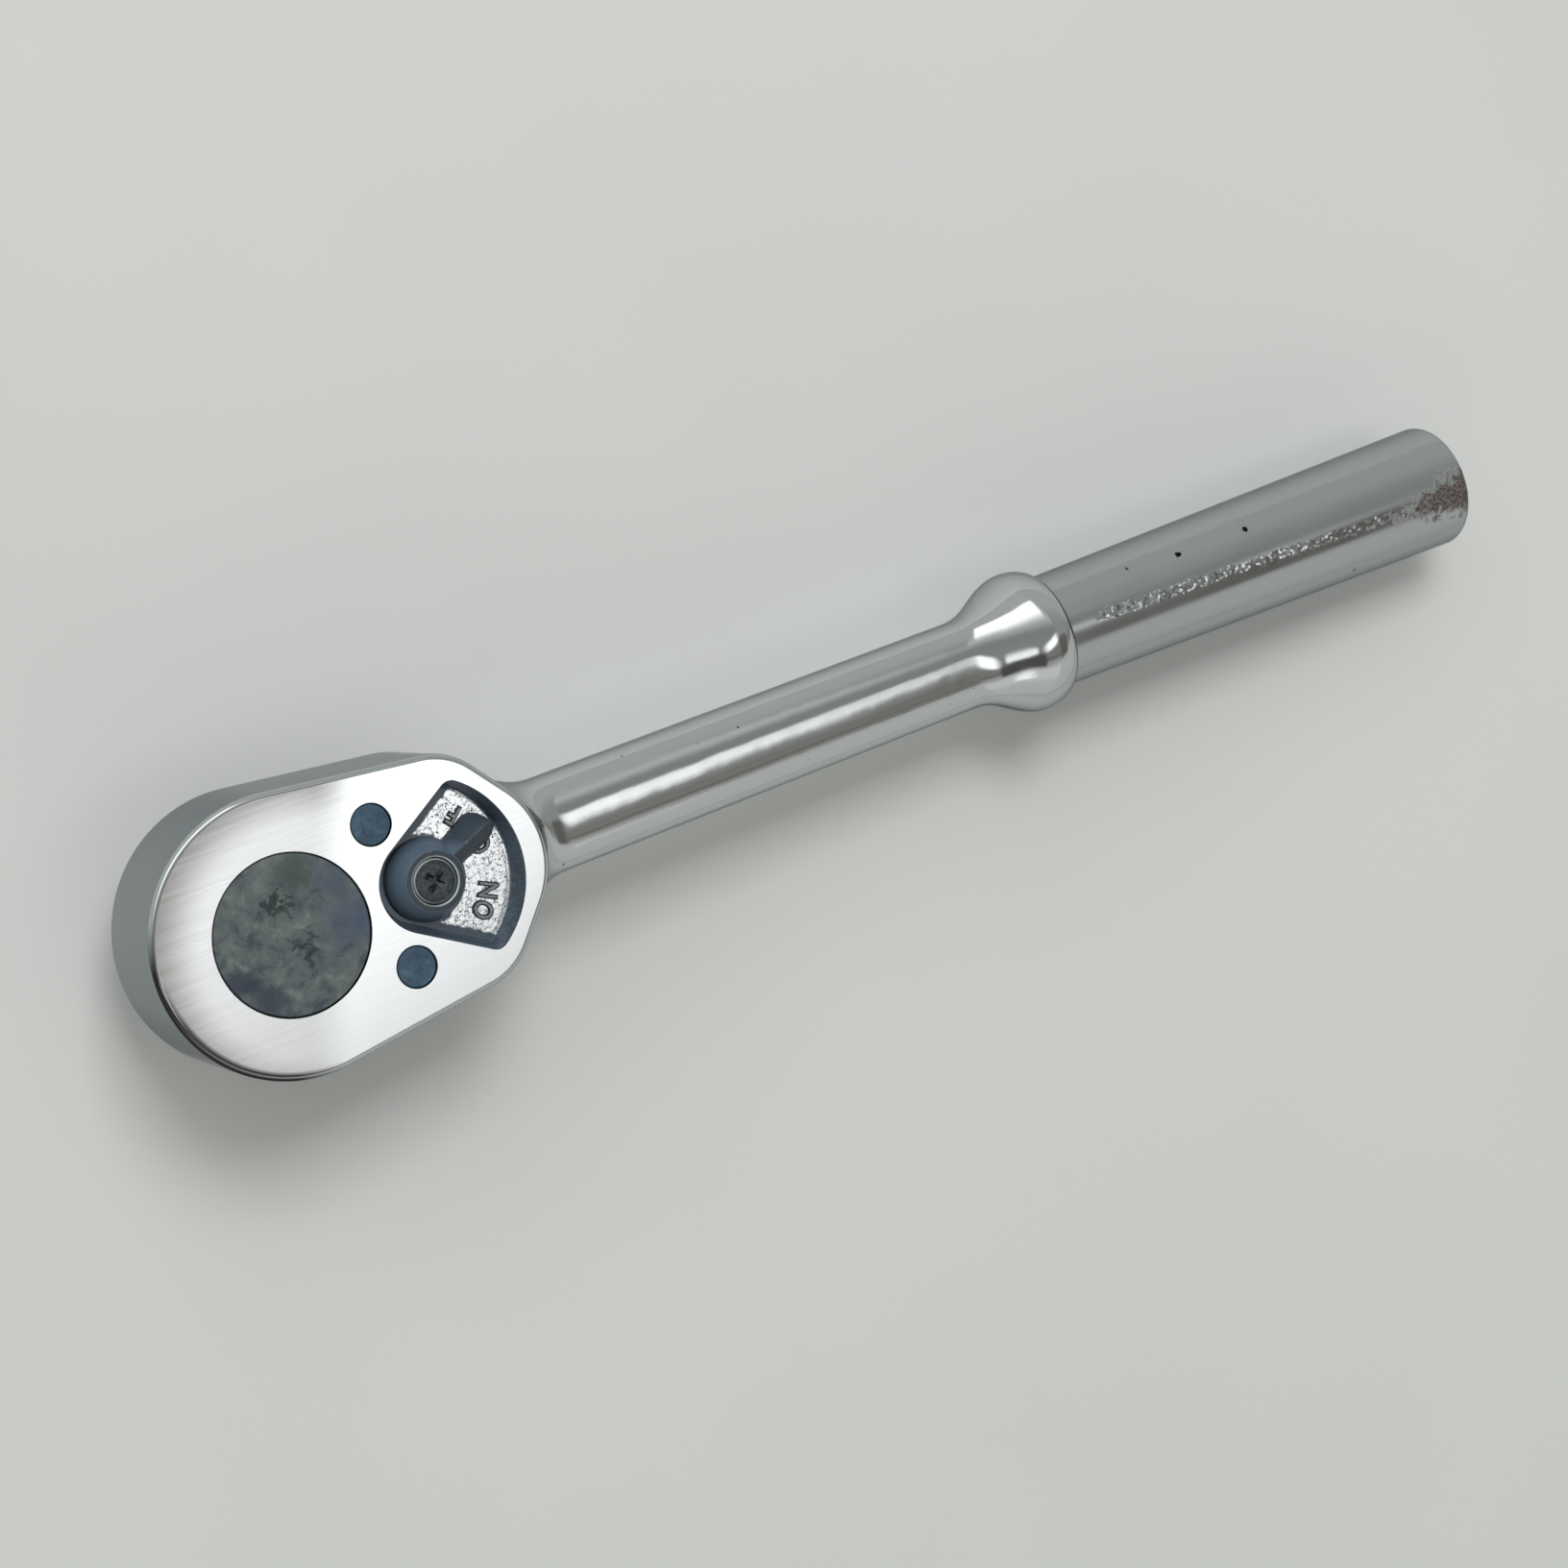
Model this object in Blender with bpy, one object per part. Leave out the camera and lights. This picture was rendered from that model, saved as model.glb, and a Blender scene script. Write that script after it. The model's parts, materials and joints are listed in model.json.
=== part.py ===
"""Reversible ratchet wrench with a half inch square drive.

The end face of the square sits on the origin, the drive axis is Z and the handle runs along +X.
Sizes are in metres: MM turns millimetres into metres. The OFF side of the head is +Y, the ON side -Y.
"""

import math

import bmesh
import bpy
from mathutils import Vector

MM = 0.001

# Fits shared by every piece
RUNNING_GAP = 0.3 * MM
SEAT_GAP = 0.3 * MM
FACET_ERROR = 0.02 * MM
CUT_MARGIN = 1.0 * MM
IN_LINE_AREA = 1e-14
SHADING_ANGLE = math.radians(35.0)

# Square drive
DRIVE_SQUARE = 12.7 * MM
DRIVE_LENGTH = 16.0 * MM
DRIVE_EDGE_ROUND = 1.2 * MM
DRIVE_END_CHAMFER = 0.8 * MM

# Socket ball in the +X flat of the square
SOCKET_BALL_RADIUS = 2.4 * MM
SOCKET_BALL_HEIGHT = 6.5 * MM
SOCKET_BALL_PROUD = 0.9 * MM
SOCKET_LIP_DEPTH = 0.3 * MM
SOCKET_POCKET_WALL = 3.3 * MM
SOCKET_SPRING_TURNS = 4

# Drive gear
GEAR_TEETH = 36
BACK_JOURNAL_RADIUS = 12.7 * MM
GEAR_SHOULDER = 1.5 * MM
TOOTH_DEPTH = 1.4 * MM
TOOTH_TIP_SHARE = 0.11
TOOTH_ROOT_SHARE = 0.36
TOOTH_ROOT_LIMIT = 0.49
GEAR_WIDTH = 10.0 * MM
FRONT_JOURNAL_SHOULDER = 1.0 * MM
FRONT_JOURNAL_PROUD = 0.3 * MM
DISC_SUNK = 0.1 * MM
DISC_CHAMFER = 0.3 * MM

# Thrust washer between gear and cover
THRUST_WASHER_THICKNESS = 0.8 * MM
THRUST_WASHER_ROOM = 0.5 * MM

# Head of the forged body
GEAR_ROOM = 0.6 * MM
HEAD_WALL = 6.0 * MM
FACE_WALL = 6.6 * MM
HEAD_EDGE_ROUND = 1.0 * MM
HEAD_SHOULDER_RADIUS = 11.9 * MM
HEAD_SHOULDER_X = 3.8 * MM
HEAD_SHOULDER_RIM = 5.35 * MM
HEAD_TIP_RADIUS = 14.9 * MM
HEAD_TIP_RIM = 4.4 * MM

# Cover plate on the drive side
COVER_THICKNESS = 3.0 * MM
COVER_LEDGE = 1.5 * MM
COVER_CHAMFER = 0.4 * MM
COVER_SCREW_X = 12.0 * MM
COVER_SCREW_Y = 6.4 * MM
COVER_SCREW_RADIUS = 1.5 * MM
COVER_SCREW_HEAD_RADIUS = 2.9 * MM
COVER_SCREW_HEAD_DEPTH = 1.7 * MM
COVER_SCREW_LENGTH = 9.5 * MM
COVER_SCREW_SLOT = 0.9 * MM
COVER_SCREW_SLOT_DEPTH = 0.9 * MM
COVER_SCREW_RIM = 0.8 * MM

# Pawl pins
PIN_ANGLE = math.radians(34.15)
PIN_HEAD_RADIUS = 3.3 * MM
PIN_SHAFT_RADIUS = 2.5 * MM
PIN_SUNK = 0.1 * MM
PIN_CHAMFER = 0.3 * MM

# Pawls, given in the engaged place
PAWL_EYE_WALL = 1.8 * MM
PAWL_EYE_ROOM = 0.46 * MM
PAWL_ARM_RADIUS = 3.0 * MM
PAWL_NOSE_ANGLE = math.radians(12.0)
PAWL_NOSE_RADIUS = 1.7 * MM
PAWL_NOSE_BACK_RADIUS = 1.5 * MM
PAWL_ARM_ROOM = 0.7 * MM
PAWL_TAIL_REACH = 6.8 * MM
PAWL_TAIL_DROP = 1.0 * MM
PAWL_TAIL_RADIUS = 2.2 * MM
PAWL_LIFT = math.radians(12.0)
PAWL_ROOM = 0.6 * MM

# Pawl springs, in pockets in the side walls
PAWL_SPRING_RADIUS = 1.5 * MM
PAWL_SPRING_WIRE = 0.4 * MM
PAWL_SPRING_TURNS = 2.5
PAWL_SPRING_POCKET = 2.9 * MM
PAWL_SPRING_ROOM = 0.6 * MM

# Lever recess in the back face
RECESS_X = 22.7 * MM
RECESS_LOBE_RADIUS = 7.7 * MM
RECESS_OUTER_RADIUS = 16.4 * MM
RECESS_CORNER_RADIUS = 2.2 * MM
RECESS_HALF_ANGLE = math.radians(54.4)
RECESS_ARC_STEPS = 12
RECESS_DEPTH = 4.2 * MM
RECESS_DRAFT = 0.7 * MM

# Reversing lever
LEVER_SETBACK = 1.2 * MM
LEVER_REST_ANGLE = math.radians(24.0)
LEVER_HUB_BASE_RADIUS = 6.3 * MM
LEVER_HUB_TOP_RADIUS = 5.0 * MM
LEVER_HUB_PROUD = 0.9 * MM
LEVER_HUB_ROUND = 0.4 * MM
LEVER_SEAT_DEPTH = 2.4 * MM
LEVER_FINGER_REACH = 12.9 * MM
LEVER_FINGER_BASE = 2.6 * MM
LEVER_FINGER_TOP = 0.95 * MM
LEVER_FINGER_TIP_ROUND = 1.6 * MM
LEVER_FINGER_TIP_BASE = 0.9 * MM
LEVER_FINGER_TIP_TOP = 0.35 * MM
LEVER_FINGER_TIP_DROP = 1.0 * MM

# Reversing cam
CAM_SHAFT_RADIUS = 3.0 * MM
CAM_HUB_RADIUS = 4.0 * MM
CAM_LOBE_RADIUS = 1.2 * MM
CAM_LOBE_INSET = 0.4 * MM
CAM_SPIGOT_SQUARE = 4.2 * MM
CAM_SPIGOT_ROUND = 0.4 * MM
CAM_SPIGOT_HEIGHT = 1.2 * MM
CAM_SCREW_DEPTH = 4.0 * MM

# Lever screw and its washer
SCREW_RADIUS = 1.4 * MM
SCREW_HEAD_RADIUS = 3.4 * MM
SCREW_HEAD_HEIGHT = 1.2 * MM
SCREW_HEAD_ROUND = 0.5 * MM
SCREW_CROSS_SPAN = 3.5 * MM
SCREW_CROSS_WIDTH = 1.0 * MM
SCREW_CROSS_DEPTH = 0.8 * MM
LEVER_WASHER_THICKNESS = 0.5 * MM

# Detent plunger and spring, in a hole drilled from the cavity into the neck
PLUNGER_RADIUS = 1.3 * MM
PLUNGER_BODY = 9.0 * MM
PLUNGER_GROOVE_DEPTH = 0.8 * MM
DETENT_SPRING_LENGTH = 5.5 * MM
DETENT_SPRING_WIRE = 0.35 * MM
DETENT_SPRING_TURNS = 5

SOCKET_SPRING_WIRE = 0.45 * MM
COIL_POINTS = 10

# Shank
NECK_ROUND = 6.0 * MM
NECK_STEP = 0.3 * MM
NECK_SINK = 0.1 * MM
SHANK_WIDTH = 15.8 * MM
SHANK_END_WIDTH = 15.2 * MM
SHANK_HEIGHT = 12.6 * MM
SHANK_POWER = 2.4
SHANK_LENGTH = 78.0 * MM

# Collar and grip
COLLAR_RADIUS = 12.2 * MM
COLLAR_FLARE = 13.5 * MM
COLLAR_FLARE_POWER = 1.3
COLLAR_FALL = 4.5 * MM
GRIP_START_RADIUS = 9.75 * MM
GRIP_END_RADIUS = 10.95 * MM
GRIP_LENGTH = 86.5 * MM
GRIP_END_ROUND = 1.6 * MM
HANDLE_POINTS = 44
ROUND_STEPS = 4
FLARE_STEPS = 8

# Heights that follow from the stack of pieces along the drive axis
COVER_OUTER_Z = DRIVE_LENGTH
COVER_INNER_Z = COVER_OUTER_Z + COVER_THICKNESS
WASHER_Z = COVER_INNER_Z + SEAT_GAP
GEAR_BOTTOM_Z = WASHER_Z + THRUST_WASHER_THICKNESS + SEAT_GAP
GEAR_TOP_Z = GEAR_BOTTOM_Z + GEAR_WIDTH
CEILING_Z = GEAR_TOP_Z + SEAT_GAP
FACE_Z = CEILING_Z + FACE_WALL
RECESS_FLOOR_Z = FACE_Z - RECESS_DEPTH
AXIS_Z = (COVER_OUTER_Z + FACE_Z) / 2
LEVER_BASE_Z = RECESS_FLOOR_Z + SEAT_GAP
LEVER_TOP_Z = FACE_Z + LEVER_HUB_PROUD
LEVER_SEAT_Z = LEVER_TOP_Z - LEVER_SEAT_DEPTH
SPIGOT_TOP_Z = LEVER_BASE_Z + CAM_SPIGOT_HEIGHT
PAWL_BOTTOM_Z = COVER_INNER_Z + SEAT_GAP
PAWL_TOP_Z = GEAR_TOP_Z
PAWL_MID_Z = (PAWL_BOTTOM_Z + PAWL_TOP_Z) / 2

# Radii and places that follow from the gear
GEAR_ROOT_RADIUS = BACK_JOURNAL_RADIUS + GEAR_SHOULDER
GEAR_TIP_RADIUS = GEAR_ROOT_RADIUS + TOOTH_DEPTH
GEAR_PITCH = 2 * math.pi / GEAR_TEETH
FRONT_JOURNAL_RADIUS = DRIVE_SQUARE / math.sqrt(2) + FRONT_JOURNAL_SHOULDER
CAVITY_RADIUS = GEAR_TIP_RADIUS + GEAR_ROOM
HEAD_RADIUS = CAVITY_RADIUS + HEAD_WALL
PAWL_EYE_RADIUS = PIN_SHAFT_RADIUS + RUNNING_GAP + PAWL_EYE_WALL
PIN_DISTANCE = GEAR_TIP_RADIUS + PAWL_EYE_ROOM + PAWL_EYE_RADIUS
PIN_PLACE = Vector((PIN_DISTANCE * math.cos(PIN_ANGLE), PIN_DISTANCE * math.sin(PIN_ANGLE)))
LEVER_X = RECESS_X + LEVER_SETBACK
LEVER_PLACE = Vector((LEVER_X, 0.0))
PAWL_TAIL = Vector((PAWL_TAIL_REACH, -PAWL_TAIL_DROP))
HEAD_TIP_X = RECESS_X + RECESS_OUTER_RADIUS + HEAD_TIP_RIM
HEAD_TIP_CENTRE_X = HEAD_TIP_X - HEAD_TIP_RADIUS
SHANK_START_X = HEAD_TIP_X + NECK_ROUND
COLLAR_START_X = SHANK_START_X + SHANK_LENGTH
COLLAR_X = COLLAR_START_X + COLLAR_FLARE
GRIP_X = COLLAR_X + COLLAR_FALL
END_X = GRIP_X + GRIP_LENGTH


def polar(radius, angle):
    """Point at a radius and angle from the drive axis."""
    return Vector((radius * math.cos(angle), radius * math.sin(angle)))


def turn(point, angle):
    """Flat point turned about its origin."""
    cosine = math.cos(angle)
    sine = math.sin(angle)
    return Vector((point.x * cosine - point.y * sine, point.x * sine + point.y * cosine))


TAIL_LIFTED = PIN_PLACE + turn(PAWL_TAIL, PAWL_LIFT)
LOBE_VECTOR = TAIL_LIFTED - LEVER_PLACE
LOBE_REACH = LOBE_VECTOR.length - PAWL_TAIL_RADIUS - RUNNING_GAP
LOBE_ANGLE = math.atan2(LOBE_VECTOR.y, LOBE_VECTOR.x) - LEVER_REST_ANGLE
CAVITY_CIRCLES = [
    (0.0, 0.0, CAVITY_RADIUS),
    (PIN_PLACE.x, -PIN_PLACE.y, PAWL_EYE_RADIUS + PAWL_ROOM),
    (TAIL_LIFTED.x, -TAIL_LIFTED.y, PAWL_TAIL_RADIUS + PAWL_ROOM),
    (LEVER_X, 0.0, LOBE_REACH + PAWL_ROOM),
    (TAIL_LIFTED.x, TAIL_LIFTED.y, PAWL_TAIL_RADIUS + PAWL_ROOM),
    (PIN_PLACE.x, PIN_PLACE.y, PAWL_EYE_RADIUS + PAWL_ROOM),
]
COVER_SCREW_PLACES = {
    "on": Vector((LEVER_X + COVER_SCREW_X, -COVER_SCREW_Y)),
    "off": Vector((LEVER_X + COVER_SCREW_X, COVER_SCREW_Y)),
}
COVER_CIRCLES = [(x, y, radius + COVER_LEDGE) for x, y, radius in CAVITY_CIRCLES] + [
    (place.x, place.y, COVER_SCREW_HEAD_RADIUS + COVER_SCREW_RIM) for place in COVER_SCREW_PLACES.values()
]
SPRING_POCKET_Y = TAIL_LIFTED.y + PAWL_TAIL_RADIUS + PAWL_ROOM + PAWL_SPRING_POCKET
PLUNGER_TIP_X = LEVER_X + CAM_HUB_RADIUS - PLUNGER_GROOVE_DEPTH + RUNNING_GAP
PLUNGER_BACK_X = PLUNGER_TIP_X + PLUNGER_BODY
DETENT_HOLE_END_X = PLUNGER_BACK_X + DETENT_SPRING_LENGTH + 2 * SEAT_GAP


def steps_for(radius):
    """Number of sides that keeps a circle's facets within the allowed error."""
    half_turn = math.acos(1 - FACET_ERROR / radius)
    return 4 * max(4, math.ceil(math.pi / half_turn / 4))


def band(circles):
    """Outline of a band stretched round circles, as (centre x, centre y, radius, angle) points."""
    samples = []
    for x, y, radius in circles:
        count = steps_for(radius)
        for step in range(count):
            angle = 2 * math.pi * step / count
            samples.append((x + radius * math.cos(angle), y + radius * math.sin(angle), x, y, radius, angle))
    samples.sort()
    halves = []
    for run in (samples, samples[::-1]):
        half = []
        for point in run:
            while len(half) > 1 and not turns_left(half[-2], half[-1], point):
                half.pop()
            half.append(point)
        halves.append(half[:-1])
    return [point[2:] for half in halves for point in half]


def turns_left(first, second, third):
    """True where the path through three points bends to the left."""
    run_x = second[0] - first[0]
    run_y = second[1] - first[1]
    return run_x * (third[1] - first[1]) - run_y * (third[0] - first[0]) > IN_LINE_AREA


def ring(outline, grow, z):
    """The outline at a height, moved outward by grow."""
    return [
        Vector((x + (radius + grow) * math.cos(angle), y + (radius + grow) * math.sin(angle), z))
        for x, y, radius, angle in outline
    ]


def loft(rings):
    """Closed mesh through rings of equal count, capped at both ends."""
    mesh = bmesh.new()
    loops = [[mesh.verts.new(point) for point in points] for points in rings]
    count = len(loops[0])
    for low, high in zip(loops, loops[1:]):
        for i in range(count):
            j = (i + 1) % count
            mesh.faces.new((low[i], low[j], high[j], high[i]))
    mesh.faces.new(loops[0][::-1])
    mesh.faces.new(loops[-1])
    return mesh


def prism(outline, bottom, top, grow=0.0):
    """Straight prism of an outline between two heights."""
    return loft([ring(outline, grow, bottom), ring(outline, grow, top)])


def turned(profile):
    """Solid turned about Z from (radius, height) points, bottom to top."""
    widest = max(radius for radius, height in profile)
    angles = [(0.0, 0.0, 0.0, 2 * math.pi * i / steps_for(widest)) for i in range(steps_for(widest))]
    return loft([ring(angles, radius, height) for radius, height in profile])


def rod(radius, bottom, top):
    """Straight round bar about Z between two heights."""
    return turned([(radius, bottom), (radius, top)])


def washer(inner, outer, bottom, top):
    """Flat ring turned about Z."""
    count = steps_for(outer)
    mesh = bmesh.new()
    corners = [(inner, bottom), (outer, bottom), (outer, top), (inner, top)]
    loops = []
    for i in range(count):
        place = polar(1.0, 2 * math.pi * i / count)
        loops.append([mesh.verts.new((radius * place.x, radius * place.y, z)) for radius, z in corners])
    for i, here in enumerate(loops):
        after = loops[(i + 1) % count]
        for k in range(len(corners)):
            m = (k + 1) % len(corners)
            mesh.faces.new((here[k], after[k], after[m], here[m]))
    return mesh


def ball_profile(radius):
    """Half circle of a ball, bottom to top, with small flats at the poles."""
    count = steps_for(radius) // 2
    angles = [math.pi * (k + 0.5) / count - math.pi / 2 for k in range(count)]
    return [(radius * math.cos(angle), radius * math.sin(angle)) for angle in angles]


def finish(name, colour, roughness, metallic):
    """Principled material of one piece."""
    material = bpy.data.materials.new(name)
    material.use_nodes = True
    shader = material.node_tree.nodes["Principled BSDF"]
    shader.inputs["Base Color"].default_value = (*colour, 1.0)
    shader.inputs["Roughness"].default_value = roughness
    shader.inputs["Metallic"].default_value = metallic
    return material


CHROME = ((0.78, 0.79, 0.80), 0.16, 1.0)
BLUED_STEEL = ((0.16, 0.18, 0.20), 0.45, 0.9)
BLACK_OXIDE = ((0.03, 0.03, 0.035), 0.42, 0.6)
BRIGHT_STEEL = ((0.55, 0.55, 0.56), 0.3, 1.0)


def piece(name, mesh, look=None, place=(0, 0, 0), rotation=(0, 0, 0), parent=None):
    """Object of a mesh, set on its place; one without a look is a cutter."""
    bmesh.ops.recalc_face_normals(mesh, faces=mesh.faces)
    data = bpy.data.meshes.new(name)
    mesh.to_mesh(data)
    mesh.free()
    data.shade_smooth()
    data.set_sharp_from_angle(angle=SHADING_ANGLE)
    item = bpy.data.objects.new(name, data)
    bpy.context.scene.collection.objects.link(item)
    item.location = place
    item.rotation_euler = rotation
    item.parent = parent
    if look is None:
        item.hide_render = True
        item.display_type = "WIRE"
    else:
        data.materials.append(finish(name, *look))
    return item


def combine(item, tool, operation):
    """Boolean of an item with a hidden tool."""
    modifier = item.modifiers.new(tool.name, "BOOLEAN")
    modifier.object = tool
    modifier.operation = operation
    modifier.solver = "EXACT"


def join(item, name, mesh, **placing):
    """Adds a shape to an item."""
    combine(item, piece(f"{name}_form", mesh, **placing), "UNION")


def cut(item, name, mesh, **placing):
    """Takes a shape out of an item."""
    combine(item, piece(f"{name}_cutter", mesh, **placing), "DIFFERENCE")


def anchor(name, place, angle=0.0):
    """Empty on a joint's axis that carries the pieces turning there."""
    empty = bpy.data.objects.new(name, None)
    bpy.context.scene.collection.objects.link(empty)
    empty.location = place
    empty.rotation_euler.z = angle
    return empty


ALONG_X = (0, math.radians(90), 0)
ALONG_Y = (math.radians(-90), 0, 0)
ALONG_MINUS_Y = (math.radians(90), 0, 0)


def coil(name, radius, wire, length, turns, place, rotation, parent=None):
    """Spring wound along its own Z axis as one tube."""
    count = round(turns * COIL_POINTS)
    rise = length - wire
    points = []
    for k in range(count + 1):
        turn_point = polar(radius, 2 * math.pi * k / COIL_POINTS)
        points.append(Vector((turn_point.x, turn_point.y, wire / 2 + rise * k / count)))
    apart = COIL_POINTS // 2
    gaps = [(a - b).length for i, a in enumerate(points) for b in points[i + apart:]]
    print(f"{name}: least gap to itself {(min(gaps) - wire) / MM:.2f} mm")
    curve = bpy.data.curves.new(name, "CURVE")
    curve.dimensions = "3D"
    curve.bevel_depth = wire / 2
    curve.bevel_resolution = 1
    curve.use_fill_caps = True
    spline = curve.splines.new("POLY")
    spline.points.add(count)
    for spot, point in zip(spline.points, points):
        spot.co = (*point, 1.0)
    item = bpy.data.objects.new(name, curve)
    bpy.context.scene.collection.objects.link(item)
    item.location = place
    item.rotation_euler = rotation
    item.parent = parent
    curve.materials.append(finish(name, *BRIGHT_STEEL))


def quarter(steps):
    """Angles from zero to a right angle."""
    return [math.pi / 2 * k / steps for k in range(steps + 1)]


def head_form():
    """Head of the forging: a pear shaped block with rounded edges."""
    shoulder_y = (
        (RECESS_OUTER_RADIUS - RECESS_CORNER_RADIUS) * math.sin(RECESS_HALF_ANGLE)
        + RECESS_CORNER_RADIUS + HEAD_SHOULDER_RIM - HEAD_SHOULDER_RADIUS
    )
    shoulder_x = RECESS_X + HEAD_SHOULDER_X
    outline = band([
        (0.0, 0.0, HEAD_RADIUS),
        (shoulder_x, -shoulder_y, HEAD_SHOULDER_RADIUS),
        (HEAD_TIP_CENTRE_X, 0.0, HEAD_TIP_RADIUS),
        (shoulder_x, shoulder_y, HEAD_SHOULDER_RADIUS),
    ])
    edge = [
        (-HEAD_EDGE_ROUND * (1 - math.sin(angle)), HEAD_EDGE_ROUND * (1 - math.cos(angle)))
        for angle in quarter(ROUND_STEPS - 1)
    ]
    rings = [ring(outline, grow, COVER_OUTER_Z + rise) for grow, rise in edge]
    rings += [ring(outline, grow, FACE_Z - rise) for grow, rise in reversed(edge)]
    return loft(rings)


def section(place_x, half_width, half_height, power):
    """Ring across the handle; place_x gives the X of a point from its Y."""
    points = []
    for k in range(HANDLE_POINTS):
        angle = 2 * math.pi * k / HANDLE_POINTS
        cosine = math.cos(angle)
        sine = math.sin(angle)
        y = half_width * math.copysign(abs(cosine) ** (2 / power), cosine)
        z = half_height * math.copysign(abs(sine) ** (2 / power), sine)
        points.append(Vector((place_x(y), y, AXIS_Z + z)))
    return points


def handle_form():
    """Neck, shank, collar and grip as one loft along X."""
    half_width = SHANK_WIDTH / 2
    end_half_width = SHANK_END_WIDTH / 2
    half_height = SHANK_HEIGHT / 2
    head_half = (FACE_Z - COVER_OUTER_Z) / 2
    rise_round = max(0.0, min(NECK_ROUND, head_half - HEAD_EDGE_ROUND - half_height - NECK_STEP))

    def wall(y):
        return HEAD_TIP_CENTRE_X + math.sqrt(max(HEAD_TIP_RADIUS ** 2 - y ** 2, 0.0))

    def neck_ring(angle, inset):
        wide = half_width + NECK_ROUND * (1 - math.sin(angle))
        high = half_height + rise_round * (1 - math.sin(angle))
        ahead = NECK_ROUND * (1 - math.cos(angle)) - inset
        return section(lambda y: wall(y) + ahead, wide, high, SHANK_POWER)

    rings = [neck_ring(0.0, NECK_ROUND)]
    rings += [neck_ring(angle, NECK_SINK) for angle in quarter(ROUND_STEPS)]
    rings.append(section(lambda y: SHANK_START_X + NECK_ROUND, half_width, half_height, SHANK_POWER))
    for step in range(FLARE_STEPS + 1):
        share = (0.5 - 0.5 * math.cos(math.pi * step / FLARE_STEPS)) ** COLLAR_FLARE_POWER
        x = COLLAR_START_X + COLLAR_FLARE * step / FLARE_STEPS
        wide = end_half_width + (COLLAR_RADIUS - end_half_width) * share
        high = half_height + (COLLAR_RADIUS - half_height) * share
        power = SHANK_POWER + (2 - SHANK_POWER) * share
        rings.append(section(lambda y, x=x: x, wide, high, power))
    for angle in quarter(ROUND_STEPS)[1:]:
        x = COLLAR_X + COLLAR_FALL * math.sin(angle)
        radius = GRIP_START_RADIUS + (COLLAR_RADIUS - GRIP_START_RADIUS) * math.cos(angle)
        rings.append(section(lambda y, x=x: x, radius, radius, 2))
    for angle in quarter(ROUND_STEPS):
        x = END_X - GRIP_END_ROUND * (1 - math.sin(angle))
        radius = GRIP_END_RADIUS - GRIP_END_ROUND * (1 - math.cos(angle))
        rings.append(section(lambda y, x=x: x, radius, radius, 2))
    return loft(rings)


def recess_mesh():
    """Fan shaped recess with drafted walls, open above the face."""
    circles = [(RECESS_X, 0.0, RECESS_LOBE_RADIUS)]
    for step in range(RECESS_ARC_STEPS + 1):
        angle = RECESS_HALF_ANGLE * (2 * step / RECESS_ARC_STEPS - 1)
        place = polar(RECESS_OUTER_RADIUS - RECESS_CORNER_RADIUS, angle)
        circles.append((RECESS_X + place.x, place.y, RECESS_CORNER_RADIUS))
    outline = band(circles)
    slope = RECESS_DRAFT / RECESS_DEPTH
    return loft([
        ring(outline, -RECESS_DRAFT, RECESS_FLOOR_Z),
        ring(outline, slope * CUT_MARGIN, FACE_Z + CUT_MARGIN),
    ])


def make_body():
    """Forged body: head, shank, collar and grip in one piece, with its machined cavities."""
    body = piece("handle_body", head_form(), CHROME)
    join(body, "handle", handle_form())
    cover = band(COVER_CIRCLES)
    cut(body, "cover_seat", prism(cover, COVER_OUTER_Z - CUT_MARGIN, COVER_INNER_Z + SEAT_GAP))
    cut(body, "cavity", prism(band(CAVITY_CIRCLES), COVER_INNER_Z, CEILING_Z))
    bore = BACK_JOURNAL_RADIUS + RUNNING_GAP
    cut(body, "back_bore", rod(bore, CEILING_Z - CUT_MARGIN, FACE_Z + CUT_MARGIN))
    cut(body, "recess", recess_mesh())
    shaft_hole = CAM_SHAFT_RADIUS + RUNNING_GAP
    cut(body, "cam_hole", rod(shaft_hole, CEILING_Z - CUT_MARGIN, FACE_Z), place=(LEVER_X, 0, 0))
    pin_hole = PIN_HEAD_RADIUS + SEAT_GAP
    pocket = PAWL_SPRING_RADIUS + PAWL_SPRING_WIRE / 2 + RUNNING_GAP
    screw_hole = COVER_SCREW_RADIUS + SEAT_GAP
    screw_hole_top = COVER_OUTER_Z + COVER_SCREW_LENGTH + SEAT_GAP
    for side, sign in (("on", -1), ("off", 1)):
        cut(body, f"pin_hole_{side}", rod(pin_hole, CEILING_Z - CUT_MARGIN, FACE_Z + CUT_MARGIN),
            place=(PIN_PLACE.x, sign * PIN_PLACE.y, 0))
        cut(body, f"spring_pocket_{side}", rod(pocket, TAIL_LIFTED.y, SPRING_POCKET_Y),
            place=(TAIL_LIFTED.x, 0, PAWL_MID_Z), rotation=ALONG_Y if sign > 0 else ALONG_MINUS_Y)
        cut(body, f"screw_hole_{side}", rod(screw_hole, COVER_OUTER_Z, screw_hole_top),
            place=(*COVER_SCREW_PLACES[side], 0))
    hole = PLUNGER_RADIUS + RUNNING_GAP
    cut(body, "detent_hole", rod(hole, LEVER_X, DETENT_HOLE_END_X),
        place=(0, 0, PAWL_MID_Z), rotation=ALONG_X)


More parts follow.
